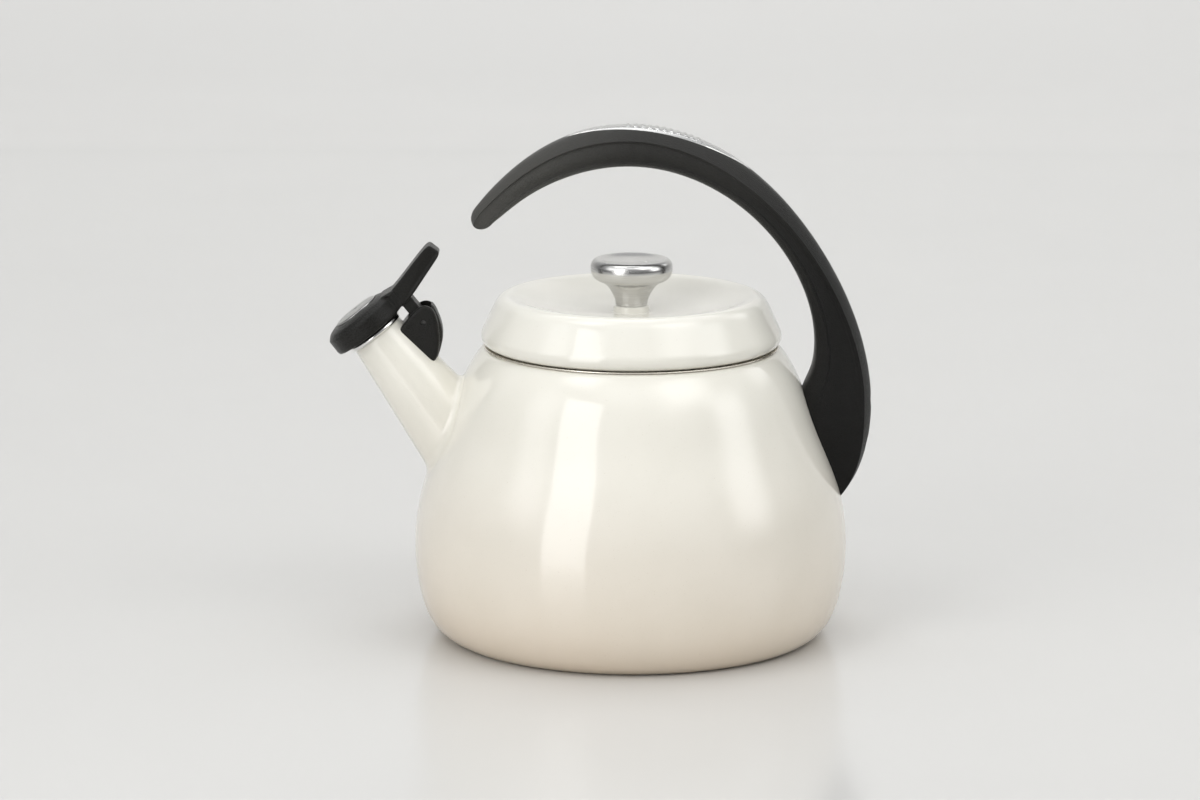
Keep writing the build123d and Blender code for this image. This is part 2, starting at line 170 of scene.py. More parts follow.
def lathe_data(prof, seg, place=None, closed=True):
    """Revolved outline of (r, z) points. Points on the axis become one vertex."""
    verts, rings = [], []
    ang = np.linspace(0, 2 * math.pi, seg, endpoint=False)
    for r, z in prof:
        if r < 1e-6:
            rings.append([len(verts)])
            verts.append((0.0, 0.0, z))
        else:
            s = len(verts)
            rings.append(list(range(s, s + seg)))
            verts += [(r * math.cos(t), r * math.sin(t), z) for t in ang]
    faces = []
    n = len(rings)
    for i in range(n if closed else n - 1):
        a, b = rings[i], rings[(i + 1) % n]
        if len(a) == 1 and len(b) == 1:
            continue
        for j in range(seg):
            k = (j + 1) % seg
            if len(a) == 1:
                faces.append((a[0], b[j], b[k]))
            elif len(b) == 1:
                faces.append((a[j], b[0], a[k]))
            else:
                faces.append((a[j], b[j], b[k], a[k]))
    if place is not None:
        verts = [place(*v) for v in verts]
    return verts, faces


def lathe(name, prof, mat, seg=128, place=None, closed=True, sharp=32.0):
    v, f = lathe_data(prof, seg, place, closed)
    return make(name, v, f, mat, sharp)


def boolean(o, cutter, op="DIFFERENCE"):
    m = o.modifiers.new("cut", "BOOLEAN")
    m.operation, m.solver, m.object = op, "EXACT", cutter
    dg = bpy.context.evaluated_depsgraph_get()
    dg.update()
    me = bpy.data.meshes.new_from_object(o.evaluated_get(dg))
    o.modifiers.clear()
    old = o.data
    name = old.name
    o.data = me
    bpy.data.meshes.remove(old)
    me.name = name
    bpy.data.objects.remove(cutter)
    return o


def grid_faces(nu, nv, wrap_v=True):
    f = []
    for i in range(nu - 1):
        for j in range(nv if wrap_v else nv - 1):
            k = (j + 1) % nv
            f.append((i * nv + j, (i + 1) * nv + j, (i + 1) * nv + k, i * nv + k))
    return f


# ------------------------------------------------------------------ materials


class N:
    """Small helper for building node trees."""

    def __init__(self, name):
        self.m = bpy.data.materials.new(name)
        self.m.use_nodes = True
        self.t = self.m.node_tree
        self.t.nodes.clear()
        self.out = self.t.nodes.new("ShaderNodeOutputMaterial")
        self.b = self.t.nodes.new("ShaderNodeBsdfPrincipled")
        self.t.links.new(self.b.outputs[0], self.out.inputs["Surface"])
        self.tc = self.t.nodes.new("ShaderNodeTexCoord")

    def add(self, kind, **kw):
        n = self.t.nodes.new(kind)
        for k, v in kw.items():
            setattr(n, k, v)
        return n

    def link(self, a, b):
        self.t.links.new(a, b)

    def obj(self):
        return self.tc.outputs["Object"]

    def noise(self, scale, detail=3.0, rough=0.5, vec=None, dist=0.0):
        n = self.add("ShaderNodeTexNoise")
        n.inputs["Scale"].default_value = scale
        n.inputs["Detail"].default_value = detail
        n.inputs["Roughness"].default_value = rough
        n.inputs["Distortion"].default_value = dist
        self.link(vec if vec is not None else self.obj(), n.inputs["Vector"])
        return n.outputs["Fac"]

    def remap(self, src, lo, hi, a=0.3, b=0.7):
        n = self.add("ShaderNodeMapRange")
        n.inputs["From Min"].default_value, n.inputs["From Max"].default_value = a, b
        n.inputs["To Min"].default_value, n.inputs["To Max"].default_value = lo, hi
        self.link(src, n.inputs["Value"])
        return n.outputs["Result"]

    def ramp(self, src, stops, mode="B_SPLINE"):
        n = self.add("ShaderNodeValToRGB")
        n.color_ramp.interpolation = mode
        els = n.color_ramp.elements
        while len(els) > 1:
            els.remove(els[-1])
        els[0].position, els[0].color = stops[0][0], (*stops[0][1], 1)
        for p, c in stops[1:]:
            e = els.new(p)
            e.color = (*c, 1)
        self.link(src, n.inputs["Fac"])
        return n.outputs["Color"]

    def mix(self, fac, a, b, blend="MIX"):
        n = self.add("ShaderNodeMix", data_type="RGBA", blend_type=blend)
        if isinstance(fac, float):
            n.inputs["Factor"].default_value = fac
        else:
            self.link(fac, n.inputs["Factor"])
        for v, k in ((a, 6), (b, 7)):
            if isinstance(v, tuple):
                n.inputs[k].default_value = (*v, 1)
            else:
                self.link(v, n.inputs[k])
        return n.outputs[2]

    def bump(self, height, strength, distance, under=None):
        n = self.add("ShaderNodeBump")
        n.inputs["Strength"].default_value = strength
        n.inputs["Distance"].default_value = distance
        self.link(height, n.inputs["Height"])
        if under is not None:
            self.link(under, n.inputs["Normal"])
        return n.outputs["Normal"]

    def set(self, **kw):
        for k, v in kw.items():
            key = k.replace("_", " ")
            if isinstance(v, (int, float)):
                self.b.inputs[key].default_value = v
            elif isinstance(v, tuple):
                self.b.inputs[key].default_value = (*v, 1) if len(v) == 3 else v
            else:
                self.link(v, self.b.inputs[key])
        return self


def lin(r, g, b):
    f = lambda c: ((c / 255 + 0.055) / 1.055) ** 2.4 if c > 10.3 else c / 255 / 12.92
    return (f(r), f(g), f(b))


def separate(k):
    s = k.add("ShaderNodeSeparateXYZ")
    k.link(k.obj(), s.inputs[0])
    return s


def enamel(name, stops, dark_side=False):
    k = N(name)
    s = separate(k)
    wob = k.remap(k.noise(9.0, 3.0), -0.004, 0.004)
    add = k.add("ShaderNodeMath", operation="ADD")
    k.link(s.outputs["Z"], add.inputs[0])
    k.link(wob, add.inputs[1])
    h = k.remap(add.outputs[0], 0.0, 1.0, 0.0, 0.16)
    base = k.ramp(h, [(z / 160.0, c) for z, c in stops])
    cloud = k.noise(24.0, 4.0, 0.55)
    tint = k.mix(k.remap(cloud, 0.0, 1.0, 0.35, 0.65), (1.0, 0.995, 0.985), (0.965, 0.96, 0.945))
    col = k.mix(1.0, base, tint, "MULTIPLY")
    # the finest specks in the fired glaze
    speck = k.remap(k.noise(1500.0, 2.0, 0.6), 0.0, 1.0, 0.66, 0.76)
    col = k.mix(speck, col, k.mix(1.0, col, (0.90, 0.885, 0.86), "MULTIPLY"))
    rough = k.remap(k.noise(60.0, 4.0, 0.6), 0.085, 0.15)
    peel = k.noise(260.0, 2.0, 0.45)
    wave = k.noise(42.0, 2.0, 0.4)
    n1 = k.bump(wave, 0.05, 0.0006)
    n2 = k.bump(peel, 0.045, 0.00018, n1)
    k.set(Base_Color=col, Roughness=rough, Normal=n2)
    k.b.inputs["IOR"].default_value = 1.52
    k.b.inputs["Coat Weight"].default_value = 0.3
    k.b.inputs["Coat Roughness"].default_value = 0.035
    k.b.inputs["Coat IOR"].default_value = 1.5
    return k.m


CREAM = lin(240, 238, 229)
BODY_STOPS = [(0, lin(222, 207, 187)), (6, lin(226, 212, 194)), (22, lin(236, 226, 211)), (42, lin(239, 232, 220)),
              (62, lin(239, 234, 224)), (84, lin(240, 237, 228)), (120, CREAM), (160, lin(241, 240, 232))]
M_BODY = enamel("enamel_body", BODY_STOPS)
M_LID = enamel("enamel_lid", [(0, CREAM), (130, CREAM), (160, lin(241, 240, 233))])
M_SPOUT = enamel("enamel_spout", [(0, CREAM), (60, lin(237, 230, 219)), (84, lin(240, 237, 227)), (160, lin(241, 240, 232))])


def base_enamel():
    k = N("enamel_base")
    s = separate(k)
    r = radius_of(k, s, 0.0, 0.0)
    ring = k.add("ShaderNodeTexNoise", noise_dimensions="1D")
    ring.inputs["Scale"].default_value = 900.0
    ring.inputs["Detail"].default_value = 2.0
    k.link(r, ring.inputs["W"])
    scuff = k.noise(70.0, 6.0, 0.65, dist=0.6)
    col = k.mix(k.remap(scuff, 0.0, 1.0, 0.42, 0.68), lin(150, 126, 106), lin(112, 96, 84))
    col = k.mix(k.remap(ring.outputs["Fac"], 0.0, 0.35, 0.5, 0.75), col, lin(176, 152, 130))
    k.set(Base_Color=col, Roughness=k.remap(scuff, 0.18, 0.42),
          Normal=k.bump(ring.outputs["Fac"], 0.2, 0.00012, k.bump(k.noise(300.0, 3.0), 0.08, 0.0002)))
    k.b.inputs["Coat Weight"].default_value = 0.25
    k.b.inputs["Coat Roughness"].default_value = 0.15
    return k.m


def radius_of(k, s, x0, y0):
    """Distance from a vertical axis at x0, y0 (metres)."""
    v = k.add("ShaderNodeCombineXYZ")
    dx = k.add("ShaderNodeMath", operation="SUBTRACT")
    dy = k.add("ShaderNodeMath", operation="SUBTRACT")
    k.link(s.outputs["X"], dx.inputs[0])
    k.link(s.outputs["Y"], dy.inputs[0])
    dx.inputs[1].default_value, dy.inputs[1].default_value = x0, y0
    k.link(dx.outputs[0], v.inputs[0])
    k.link(dy.outputs[0], v.inputs[1])
    ln = k.add("ShaderNodeVectorMath", operation="LENGTH")
    k.link(v.outputs[0], ln.inputs[0])
    return ln.outputs["Value"]


def turned_steel(name, origin, tilt=None, tone=0.62, rough=(0.16, 0.30), scale=3200.0, aniso=0.55, strength=0.10):
    """Steel with fine rings from turning about an axis. tilt: angle of the axis from +Z, towards -X."""
    k = N(name)
    mp = k.add("ShaderNodeMapping", vector_type="TEXTURE")
    mp.inputs["Location"].default_value = origin
    if tilt is not None:
        mp.inputs["Rotation"].default_value = (0, -tilt, 0)
    k.link(k.obj(), mp.inputs["Vector"])
    s = k.add("ShaderNodeSeparateXYZ")
    k.link(mp.outputs[0], s.inputs[0])
    r = radius_of(k, s, 0.0, 0.0)
    v = k.add("ShaderNodeCombineXYZ")
    k.link(r, v.inputs[0])
    k.link(s.outputs["Z"], v.inputs[1])
    fine = k.noise(scale, 3.0, 0.65, vec=v.outputs[0])
    broad = k.noise(scale / 9, 2.0, 0.5, vec=v.outputs[0])
    smear = k.noise(55.0, 4.0, 0.55)
    col = k.mix(k.remap(fine, 0.0, 1.0, 0.3, 0.7), (tone * 0.90, tone * 0.89, tone * 0.875), (tone * 1.12, tone * 1.115, tone * 1.10))
    col = k.mix(k.remap(smear, 0.0, 0.35, 0.4, 0.75), col, (tone * 0.86, tone * 0.85, tone * 0.83))
    ro = k.add("ShaderNodeMath", operation="ADD")
    k.link(k.remap(fine, rough[0], rough[1]), ro.inputs[0])
    k.link(k.remap(smear, -0.03, 0.04), ro.inputs[1])
    k.set(Base_Color=col, Metallic=1.0, Roughness=ro.outputs[0],
          Normal=k.bump(fine, strength, 0.00006, k.bump(broad, strength * 0.5, 0.0001)))
    if aniso and tilt is None:
        k.b.inputs["Anisotropic"].default_value = aniso
        tg = k.add("ShaderNodeTangent", direction_type="RADIAL", axis="Z")
        k.link(tg.outputs[0], k.b.inputs["Tangent"])
    return k.m


def plain_steel(name, tone=0.55, rough=(0.22, 0.40), grain=400.0, tint=(1.0, 0.99, 0.97)):
    k = N(name)
    mp = k.add("ShaderNodeMapping")
    mp.inputs["Scale"].default_value = (1, 7, 1)
    k.link(k.obj(), mp.inputs["Vector"])
    fine = k.noise(grain, 4.0, 0.6, vec=mp.outputs[0])
    blot = k.noise(90.0, 4.0, 0.6)
    c = [tone * t for t in tint]
    col = k.mix(k.remap(fine, 0.0, 1.0), tuple(x * 0.86 for x in c), tuple(x * 1.12 for x in c))
    col = k.mix(k.remap(blot, 0.0, 0.4, 0.45, 0.8), col, tuple(x * 0.75 for x in c))
    k.set(Base_Color=col, Metallic=1.0, Roughness=k.remap(blot, rough[0], rough[1]),
          Normal=k.bump(fine, 0.12, 0.0001))
    return k.m


def moulded(name, base, rough, grain, strength, tint=(1.0, 1.0, 0.96), depth=0.00016, spec=0.45, sheen=0.0, painted_shade_along_x=None):
    """Moulded black plastic with an etched grain."""
    k = N(name)
    vor = k.add("ShaderNodeTexVoronoi", feature="SMOOTH_F1")
    vor.inputs["Scale"].default_value = grain
    vor.inputs["Smoothness"].default_value = 0.6
    k.link(k.obj(), vor.inputs["Vector"])
    fine = k.noise(grain * 1.1, 4.0, 0.65)
    soft = k.noise(38.0, 4.0, 0.55)
    mixh = k.add("ShaderNodeMath", operation="ADD")
    k.link(vor.outputs["Distance"], mixh.inputs[0])
    k.link(fine, mixh.inputs[1])
    lo = tuple(base * t * 0.60 for t in tint)
    hi = tuple(base * t * 1.75 for t in tint)
    col = k.mix(k.remap(fine, 0.0, 1.0, 0.32, 0.70), lo, hi)
    col = k.mix(k.remap(soft, 0.0, 0.5, 0.4, 0.7), col, tuple(base * t * 1.18 for t in tint))
    ro = k.add("ShaderNodeMath", operation="ADD")
    k.link(k.remap(soft, rough[0], rough[1]), ro.inputs[0])
    k.link(k.remap(fine, -0.10, 0.10), ro.inputs[1])
    if painted_shade_along_x is not None:
        # painted shade: colour darkened along X, unchanged at the tip of the left arm and nearly black at the foot,
        # standing in for the shade on the right leg
        s = separate(k)
        along = k.remap(s.outputs["X"], 0.0, 1.0, -0.08, 0.11)
        tone = k.ramp(along, [((x + 80) / 190, (v, v, v)) for x, v in painted_shade_along_x], "LINEAR")
        col = k.mix(1.0, k.mix(1.0, col, tone, "MULTIPLY"), (1.0, 1.0, 1.0), "MULTIPLY")
    k.set(Base_Color=col, Roughness=ro.outputs[0], Normal=k.bump(mixh.outputs[0], strength, depth))
    k.b.inputs["Specular IOR Level"].default_value = spec
    if sheen:
        k.b.inputs["Sheen Weight"].default_value = sheen
        k.b.inputs["Sheen Roughness"].default_value = 0.42
        k.b.inputs["Sheen Tint"].default_value = (0.95, 0.94, 0.90, 1)
    return k.m


SPOUT_TILT = math.radians(90 - 52.0)
MOUTH = (-0.11355, 0.0, 0.1352)
M_BASE = base_enamel()
M_KNOB = turned_steel("steel_knob", (0, 0, 0.1), None, 0.66, (0.15, 0.27), 2600.0, 0.6, 0.10)
# steel neck ring; its high tone and cream tint are painted light and a painted reflection of the enamel, brightening
# the shaded gap under the lid
M_RIM_PAINTED_LIGHT = plain_steel("steel_rim", 0.84, (0.20, 0.32), 800.0, (1.0, 0.955, 0.87))
M_SKIRT = turned_steel("steel_skirt", (0, 0, 0), None, 0.60, (0.20, 0.34), 1700.0, 0.3, 0.10)
M_MOUTH = turned_steel("steel_mouth", MOUTH, SPOUT_TILT, 0.76, (0.06, 0.13), 2200.0, 0.0, 0.04)
M_DISC = turned_steel("steel_disc", MOUTH, SPOUT_TILT, 0.45, (0.17, 0.30), 2400.0, 0.0, 0.12)
M_PLAIN = plain_steel("steel_plain")
# painted shade: the pin's end is steel coloured near-black, standing in for the shaded hole it sits in
M_PIN_PAINTED_DARK = plain_steel("steel_pin", 0.10, (0.30, 0.45), 900.0)
M_SPRING = plain_steel("steel_spring", 0.50, (0.16, 0.30), 900.0)
M_INLAY = plain_steel("steel_inlay", 0.62, (0.20, 0.32), 700.0, (1.0, 1.0, 0.985))
# the grip's last argument is painted shade along X, darkest on the right leg and the foot
M_GRIP = moulded("nylon_grip", 0.062, (0.36, 0.46), 2300.0, 0.8, (1.02, 1.0, 0.92), 0.00030, 0.22, 0.05,
                 painted_shade_along_x=[(-76, 1.0), (-40, 0.80), (0, 0.36), (45, 0.28), (80, 0.12), (92, 0.05), (110, 0.04)])
M_CAP = moulded("nylon_cap", 0.0100, (0.27, 0.38), 2600.0, 0.6, (1.02, 1.0, 0.90), 0.00018, 0.20, 0.06)
M_RETAIN = moulded("nylon_retainer", 0.030, (0.45, 0.6), 2000.0, 0.25, (1.0, 1.0, 1.0))
M_RUBBER = moulded("silicone_seal", 0.022, (0.55, 0.7), 1500.0, 0.2, (1.0, 1.0, 1.0), 0.0001, 0.4)

# ------------------------------------------------------------------ body
OUTER = de_boor([(82.10, 0.0), (90.661, 3.791), (98.718, 28.159), (97.003, 63.533), (82.846, 92.574),
                 (76.638, 113.361), (71.604, 123.55), (68.009, 128.126)],
                [0, 0, 0, 0, .1922, .528, .7562, .8756, 1, 1, 1, 1], 150)
WALL = 1.6


def r_out(z):
    return np.interp(z, OUTER[:, 1], OUTER[:, 0])


def shifted(p, d):
    t = np.gradient(p, axis=0)
    t /= np.linalg.norm(t, axis=1)[:, None]
    return p + d * np.c_[-t[:, 1], t[:, 0]]


INNER = shifted(OUTER, WALL)


def r_in(z):
    return np.interp(z, INNER[:, 1], INNER[:, 0])


shoulder = bezier((68.009, 128.126), (66.6, 129.9), (65.2, 130.48), (63.2, 130.5), 10)[1:]
neck = rounded([(63.2, 130.5), (60.05, 130.5), (60.05, 128.9), (63.0, 128.9)], [0, 0.3, 0.3, 0], 4, closed=False)[1:]
inner_side = INNER[(INNER[:, 1] > 3.2) & (INNER[:, 1] < 126.4)][::-2]
turn_in = bezier((63.0, 128.9), (65.2, 128.9), (66.4, 127.8), tuple(inner_side[0]), 6)[1:-1]
foot_in = rounded([tuple(inner_side[-1]), (83.2, 1.65), (80.02, 1.65), (80.02, 0.25)], [0, 1.5, 0, 0], 4, closed=False)[1:]
lip = rounded([(80.02, 0.25), (80.3, 0.0), (82.0, 0.0)], 0, closed=False)[1:-1]
prof = np.vstack([OUTER, shoulder, neck, turn_in, inner_side, foot_in, lip])
body = lathe("kettle_body", prof, M_BODY, 288, sharp=38)

# ------------------------------------------------------------------ spout
SA = math.radians(52.0)
EU = np.array([math.sin(SA), 0, math.cos(SA)])
EH = np.array([-math.cos(SA), 0, math.sin(SA)])
EM = np.array([-113.55, 0, 135.2])


def spout_pt(u, y, h):
    return EM + u * EU + h * EH + np.array([0, y, 0])


def cone_r(h):
    return 12.35 - 0.12 * h


def hit(phi, rad, wall_r):
    """How far down the spout's axis the line at angle phi meets the body's wall."""
    lo, hi = -95.0, 0.0
    for _ in range(48):
        mid = (lo + hi) / 2
        p = spout_pt(rad(mid) * math.cos(phi), rad(mid) * math.sin(phi), mid)
        if math.hypot(p[0], p[1]) > wall_r(p[2]):
            hi = mid
        else:
            lo = mid
    return (lo + hi) / 2


def on_wall(p, r):
    m = math.hypot(p[0], p[1])
    return np.array([p[0] * r / m, p[1] * r / m, p[2]])


def wall_normal(p, d=0.5):
    slope = (r_out(p[2] + d) - r_out(p[2] - d)) / (2 * d)
    m = math.hypot(p[0], p[1])
    n = np.array([p[0] / m, p[1] / m, -slope])
    return n / np.linalg.norm(n)


NPHI, NFIL, NCONE = 144, 14, 26
cols = []
for j in range(NPHI):
    phi = 2 * math.pi * j / NPHI
    c, s = math.cos(phi), math.sin(phi)
    hc = hit(phi, cone_r, r_out)
    pc = spout_pt(cone_r(hc) * c, cone_r(hc) * s, hc)
    up, out = 4.0, 3.7
    hs = hc + up
    ps = spout_pt(cone_r(hs) * c, cone_r(hs) * s, hs)
    n = wall_normal(pc)
    w = c * EU + s * np.array([0, 1.0, 0])
    w = w - (w @ n) * n
    w /= np.linalg.norm(w)
    pb = pc + out * w
    pb = on_wall(pb, r_out(pb[2]) + 0.015)
    nb = wall_normal(pb)
    tb = pc - pb
    tb = tb - (tb @ nb) * nb
    k = 0.62
    col = list(bezier(pb, pb + k * tb, ps + k * (pc - ps), ps, NFIL))
    for i in range(1, NCONE + 1):
        h = hs + (-0.7 - hs) * i / NCONE
        col.append(spout_pt(cone_r(h) * c, cone_r(h) * s, h))
    r0 = cone_r(0.3)
    for ru, hh in ((r0 - 0.05, -0.2), (r0 - 0.2, 0.15), (r0 - 0.5, 0.38), (r0 - 0.85, 0.45), (r0 - 1.2, 0.35), (r0 - 1.5, 0.05)):
        col.append(spout_pt(ru * c, ru * s, hh))
    bore = lambda q: cone_r(q) - WALL
    hi_ = hit(phi, bore, lambda z: r_in(z) - 0.25)
    for i in range(1, 19):
        h = -0.6 + (hi_ + 0.6) * i / 18
        col.append(spout_pt(bore(h) * c, bore(h) * s, h))
    e1 = col[-1]
    e2 = e1 + 2.4 * w
    col.append(on_wall(e2, r_in(e2[2]) - 0.2))
    col.append(on_wall(e2, r_in(e2[2]) + 0.5))
    e4 = pc + 1.5 * w
    col.append(on_wall(e4, r_out(e4[2]) - 0.5))
    e5 = pc + (out - 1.2) * w
    col.append(on_wall(e5, r_out(e5[2]) - 0.35))
    cols.append(col)
ns = len(cols[0])
verts = [cols[j][i] for i in range(ns) for j in range(NPHI)]
faces = grid_faces(ns, NPHI)
last = (ns - 1) * NPHI
faces += [(last + j, j, (j + 1) % NPHI, last + (j + 1) % NPHI) for j in range(NPHI)]
spout = make("kettle_spout", verts, faces, M_SPOUT, 45)

cut_prof = [(0, -78.0), (cone_r(-78) - WALL + 0.8, -78.0), (cone_r(-14) - WALL + 0.8, -14.0), (0, -14.0)]
cutter = lathe("cutter", cut_prof, None, 96, place=lambda x, y, z: spout_pt(x, y, z), closed=False)
boolean(body, cutter)
finish_mesh(body.data, 38)
body.data.materials.clear()
body.data.materials.append(M_BODY)

at_mouth = lambda x, y, z: spout_pt(x, y, z)
mouth_prof = rounded([(10.05, -5.0), (10.5, -5.0), (10.62, 0.62), (13.0, 0.45), (13.45, 1.25), (13.2, 2.30), (12.2, 2.62),
                      (10.05, 2.62)], [0.15, 0.15, 0.3, 0.3, 0.8, 0.7, 0.5, 0.6], 5)
mouth = lathe("spout_lip_ring", mouth_prof, M_MOUTH, 128, place=at_mouth, sharp=50)

rim_prof = rounded([(59.42, 124.0), (59.95, 124.0), (59.99, 130.53), (65.7, 130.53), (66.1, 130.6), (66.2, 130.9), (65.9, 131.15), (65.4, 131.1), (64.9, 130.95), (63.6, 130.92), (59.42, 130.9)],
                   [0.1, 0.1, 0.1, 0.05, 0.2, 0.3, 0.3, 0.2, 0.2, 0, 0.5], 4)
rim = lathe("neck_ring", rim_prof, M_RIM_PAINTED_LIGHT, 224, sharp=50)

base_pts = [(0, 0.0), (22.0, 0.0), (22.6, 0.45), (23.6, 0.45), (24.2, 0.0), (44.0, 0.0), (44.6, 0.45), (45.6, 0.45), (46.2, 0.0),
            (66.0, 0.0), (66.6, 0.45), (67.6, 0.45), (68.2, 0.0), (79.7, 0.0), (79.95, 0.25), (79.95, 4.6), (78.7, 4.6), (78.6, 2.4),
            (77.9, 1.8), (0, 1.8)]
base = lathe("base_plate", rounded(base_pts, [0] + [0.25] * 12 + [0.15, 0.15, 0.3, 0.3, 0.4, 0.6, 0], 3, closed=False), M_BASE, 192,
             closed=False, sharp=50)

# ------------------------------------------------------------------ handle
# outer edge, inner edge in the plane Y = 0, and half the width, from the tip to the foot
HANDLE = [
    ((-69.87, 192.27), (-61.78, 186.00), 5.88), ((-65.25, 197.87), (-56.24, 190.64), 7.29), ((-60.19, 203.28), (-51.16, 194.82), 8.30),
    ((-54.64, 208.52), (-45.82, 198.64), 9.13), ((-48.83, 213.31), (-40.29, 201.96), 9.84), ((-42.77, 217.58), (-34.58, 204.81), 10.48),
    ((-36.33, 221.32), (-28.66, 207.23), 11.04), ((-29.65, 224.39), (-22.71, 209.16), 11.50), ((-22.85, 226.73), (-16.84, 210.60), 11.86),
    ((-15.68, 228.42), (-10.86, 211.60), 12.14), ((-8.31, 229.39), (-4.87, 212.12), 12.34), ((-1.00, 229.64), (0.96, 212.16), 12.47),
    ((6.42, 229.21), (6.82, 211.74), 12.54), ((13.64, 228.14), (12.53, 210.87), 12.58), ((20.67, 226.47), (18.12, 209.56), 12.58),
    ((27.47, 224.25), (23.60, 207.85), 12.56), ((34.02, 221.52), (28.95, 205.74), 12.53), ((40.27, 218.32), (34.15, 203.26), 12.49),
    ((46.12, 214.78), (39.09, 200.50), 12.45), ((51.54, 210.97), (43.74, 197.50), 12.41), ((56.70, 206.83), (48.23, 194.21), 12.36),
    ((61.63, 202.37), (52.54, 190.63), 12.32), ((66.32, 197.66), (56.65, 186.79), 12.27), ((70.73, 192.75), (60.48, 182.74), 12.21),
    ((74.91, 187.67), (64.05, 178.51), 12.14), ((78.93, 182.33), (67.39, 174.00), 12.07), ((82.70, 176.89), (70.39, 169.37), 11.99),
    ((86.27, 171.28), (73.10, 164.58), 11.90), ((89.63, 165.52), (75.48, 159.63), 11.80), ((92.79, 159.58), (77.53, 154.55), 11.70),
    ((95.77, 153.37), (79.24, 149.27), 11.61), ((98.54, 146.88), (80.56, 143.82), 11.51), ((101.00, 140.23), (81.43, 138.37), 11.44),
    ((103.15, 133.33), (81.84, 132.88), 11.39), ((104.96, 126.05), (81.66, 127.26), 11.37), ((106.33, 118.52), (80.62, 121.45), 11.36),
    ((107.18, 110.71), (78.30, 115.60), 11.32), ((107.41, 102.68), (75.63, 107.89), 11.21), ((106.93, 94.57), (76.25, 99.72), 10.92),
    ((105.61, 86.43), (79.39, 90.63), 10.33), ((103.37, 78.53), (82.87, 81.15), 9.30), ((100.14, 71.06), (85.49, 72.12), 7.66),
    ((95.81, 64.14), (87.37, 64.66), 5.23), ((93.90, 62.2), (88.14, 62.9), 3.6),
]
HO = np.array([h[0] for h in HANDLE])
HI = np.array([h[1] for h in HANDLE])
HW = np.array([h[2] for h in HANDLE])
IDX = np.arange(len(HANDLE), dtype=float)


def key(table, x):
    xs, ys = [t[0] for t in table], [t[1] for t in table]
    return np.interp(x, xs, ys)


# ridge place, undercut depth, side bulge at three places, groove, flange edge place and width
RIDGE = [(0, .26), (7, .285), (12, .30), (16, .345), (19, .37), (22, .34), (27, .265), (32, .18), (36, .115), (40, .09), (44, .09)]
UNDER = [(0, .11), (8, .075), (12, .060), (16, .045), (19, .030), (24, .028), (36, .030), (41, .015), (44, .0)]
BUL1 = [(0, .89), (1.2, .91), (3, .965), (8, .975), (13, .965), (18, .945), (22, .915), (28, .90), (36, .905), (40, .945), (44, .98)]
BUL2 = [(0, .885), (1.4, .90), (3.4, .985), (8, .990), (13, .960), (18, .915), (22, .875), (28, .865), (36, .870), (40, .935), (44, .97)]
BUL3 = [(0, .88), (2.0, .89), (4.5, .93), (8, .935), (13, .905), (18, .875), (22, .850), (28, .850), (36, .860), (40, .930), (44, .96)]
GROOVE = [(0, .875), (3, .845), (8, .835), (13, .830), (18, .835), (22, .850), (28, .855), (34, .862), (37.5, .90), (40, .92), (44, .95)]
EDGE = [(0, .83), (8, .865), (13, .87), (17, .84), (20, .78), (23, .745), (28, .730), (36, .735), (38.5, .78), (44, .80)]
EDGEQ = [(0, .93), (8, .885), (13, .875), (18, .890), (22, .915), (28, .925), (35, .925), (37.5, .915), (40, .915), (44, .94)]


def crown(q):
    """Fall of the crown from its middle (q = 0) to the ridge (q = 1), as a share of the ridge's depth."""
    return 0.04 * q * q + 0.96 * (max(0.0, q - 0.26) / 0.74) ** 1.35


def half_section(i, flat=0.0):
    r, du = float(key(RIDGE, i)), float(key(UNDER, i))
    b1, b2, b3 = (float(key(t, i)) for t in (BUL1, BUL2, BUL3))
    g2, e, eq = float(key(GROOVE, i)), float(key(EDGE, i)), float(key(EDGEQ, i))
    g = crown
    span = e - r
    pts = [(0, 0), (g(.25) * r, .25), (g(.5) * r, .5), (g(.72) * r, .72), (g(.88) * r, .88), (g(.965) * r, .965),
           (r - .004, .996), (r + .014, 1 - .12 * du), (r + .030, 1 - .55 * du), (r + .050, 1 - du),
           (r + .075, 1 - du + .15 * (b1 - 1 + du)), (r + .12, 1 - du + .75 * (b1 - 1 + du)), (r + .30 * span, b1),
           (r + .50 * span, b2), (r + .70 * span, b3), (r + .84 * span, g2 + .25 * (b3 - g2)), (e - .040, g2), (e - .022, g2 + .12 * (eq - g2)),
           (e - .006, g2 + .80 * (eq - g2)), (e + .012, eq), (e + .30 * (1 - e), eq - .035), (e + .62 * (1 - e), eq - .12),
           (e + .86 * (1 - e), eq - .25), (.988, .52), (1.0, .34), (1.0, .16), (1.0, 0)]
    p = np.array(pts)
    if flat > 0:
        full = np.c_[p[:, 0], np.clip(np.sqrt(np.clip(1 - (2 * p[:, 0] - 1)**2, 0, 1)) * 1.15, 0, 1) * (1 - .0 * p[:, 0])]
        full[0], full[-1] = (0, 0), (1, 0)
        p[:, 1] = (1 - flat) * p[:, 1] + flat * np.minimum(p[:, 1], full[:, 1] + 0.0)
    return p


def dense(p, sub=3):
    """Catmull-Rom through the points of a half section."""
    out = []
    q = np.vstack([p[0] * [1, -1] if p[0][1] == 0 and len(p) > 1 else p[0], p, p[-1]])
    q[0] = (p[1][0], -p[1][1])
    q[-1] = (p[-2][0], -p[-2][1])
    for i in range(1, len(q) - 2):
        a, b, c, d = q[i - 1], q[i], q[i + 1], q[i + 2]
        for t in np.arange(sub) / sub:
            out.append(0.5 * ((2 * b) + (c - a) * t + (2 * a - 5 * b + 4 * c - d) * t * t + (3 * b - a - 3 * c + d) * t**3))
    out.append(p[-1])
    return np.array(out)


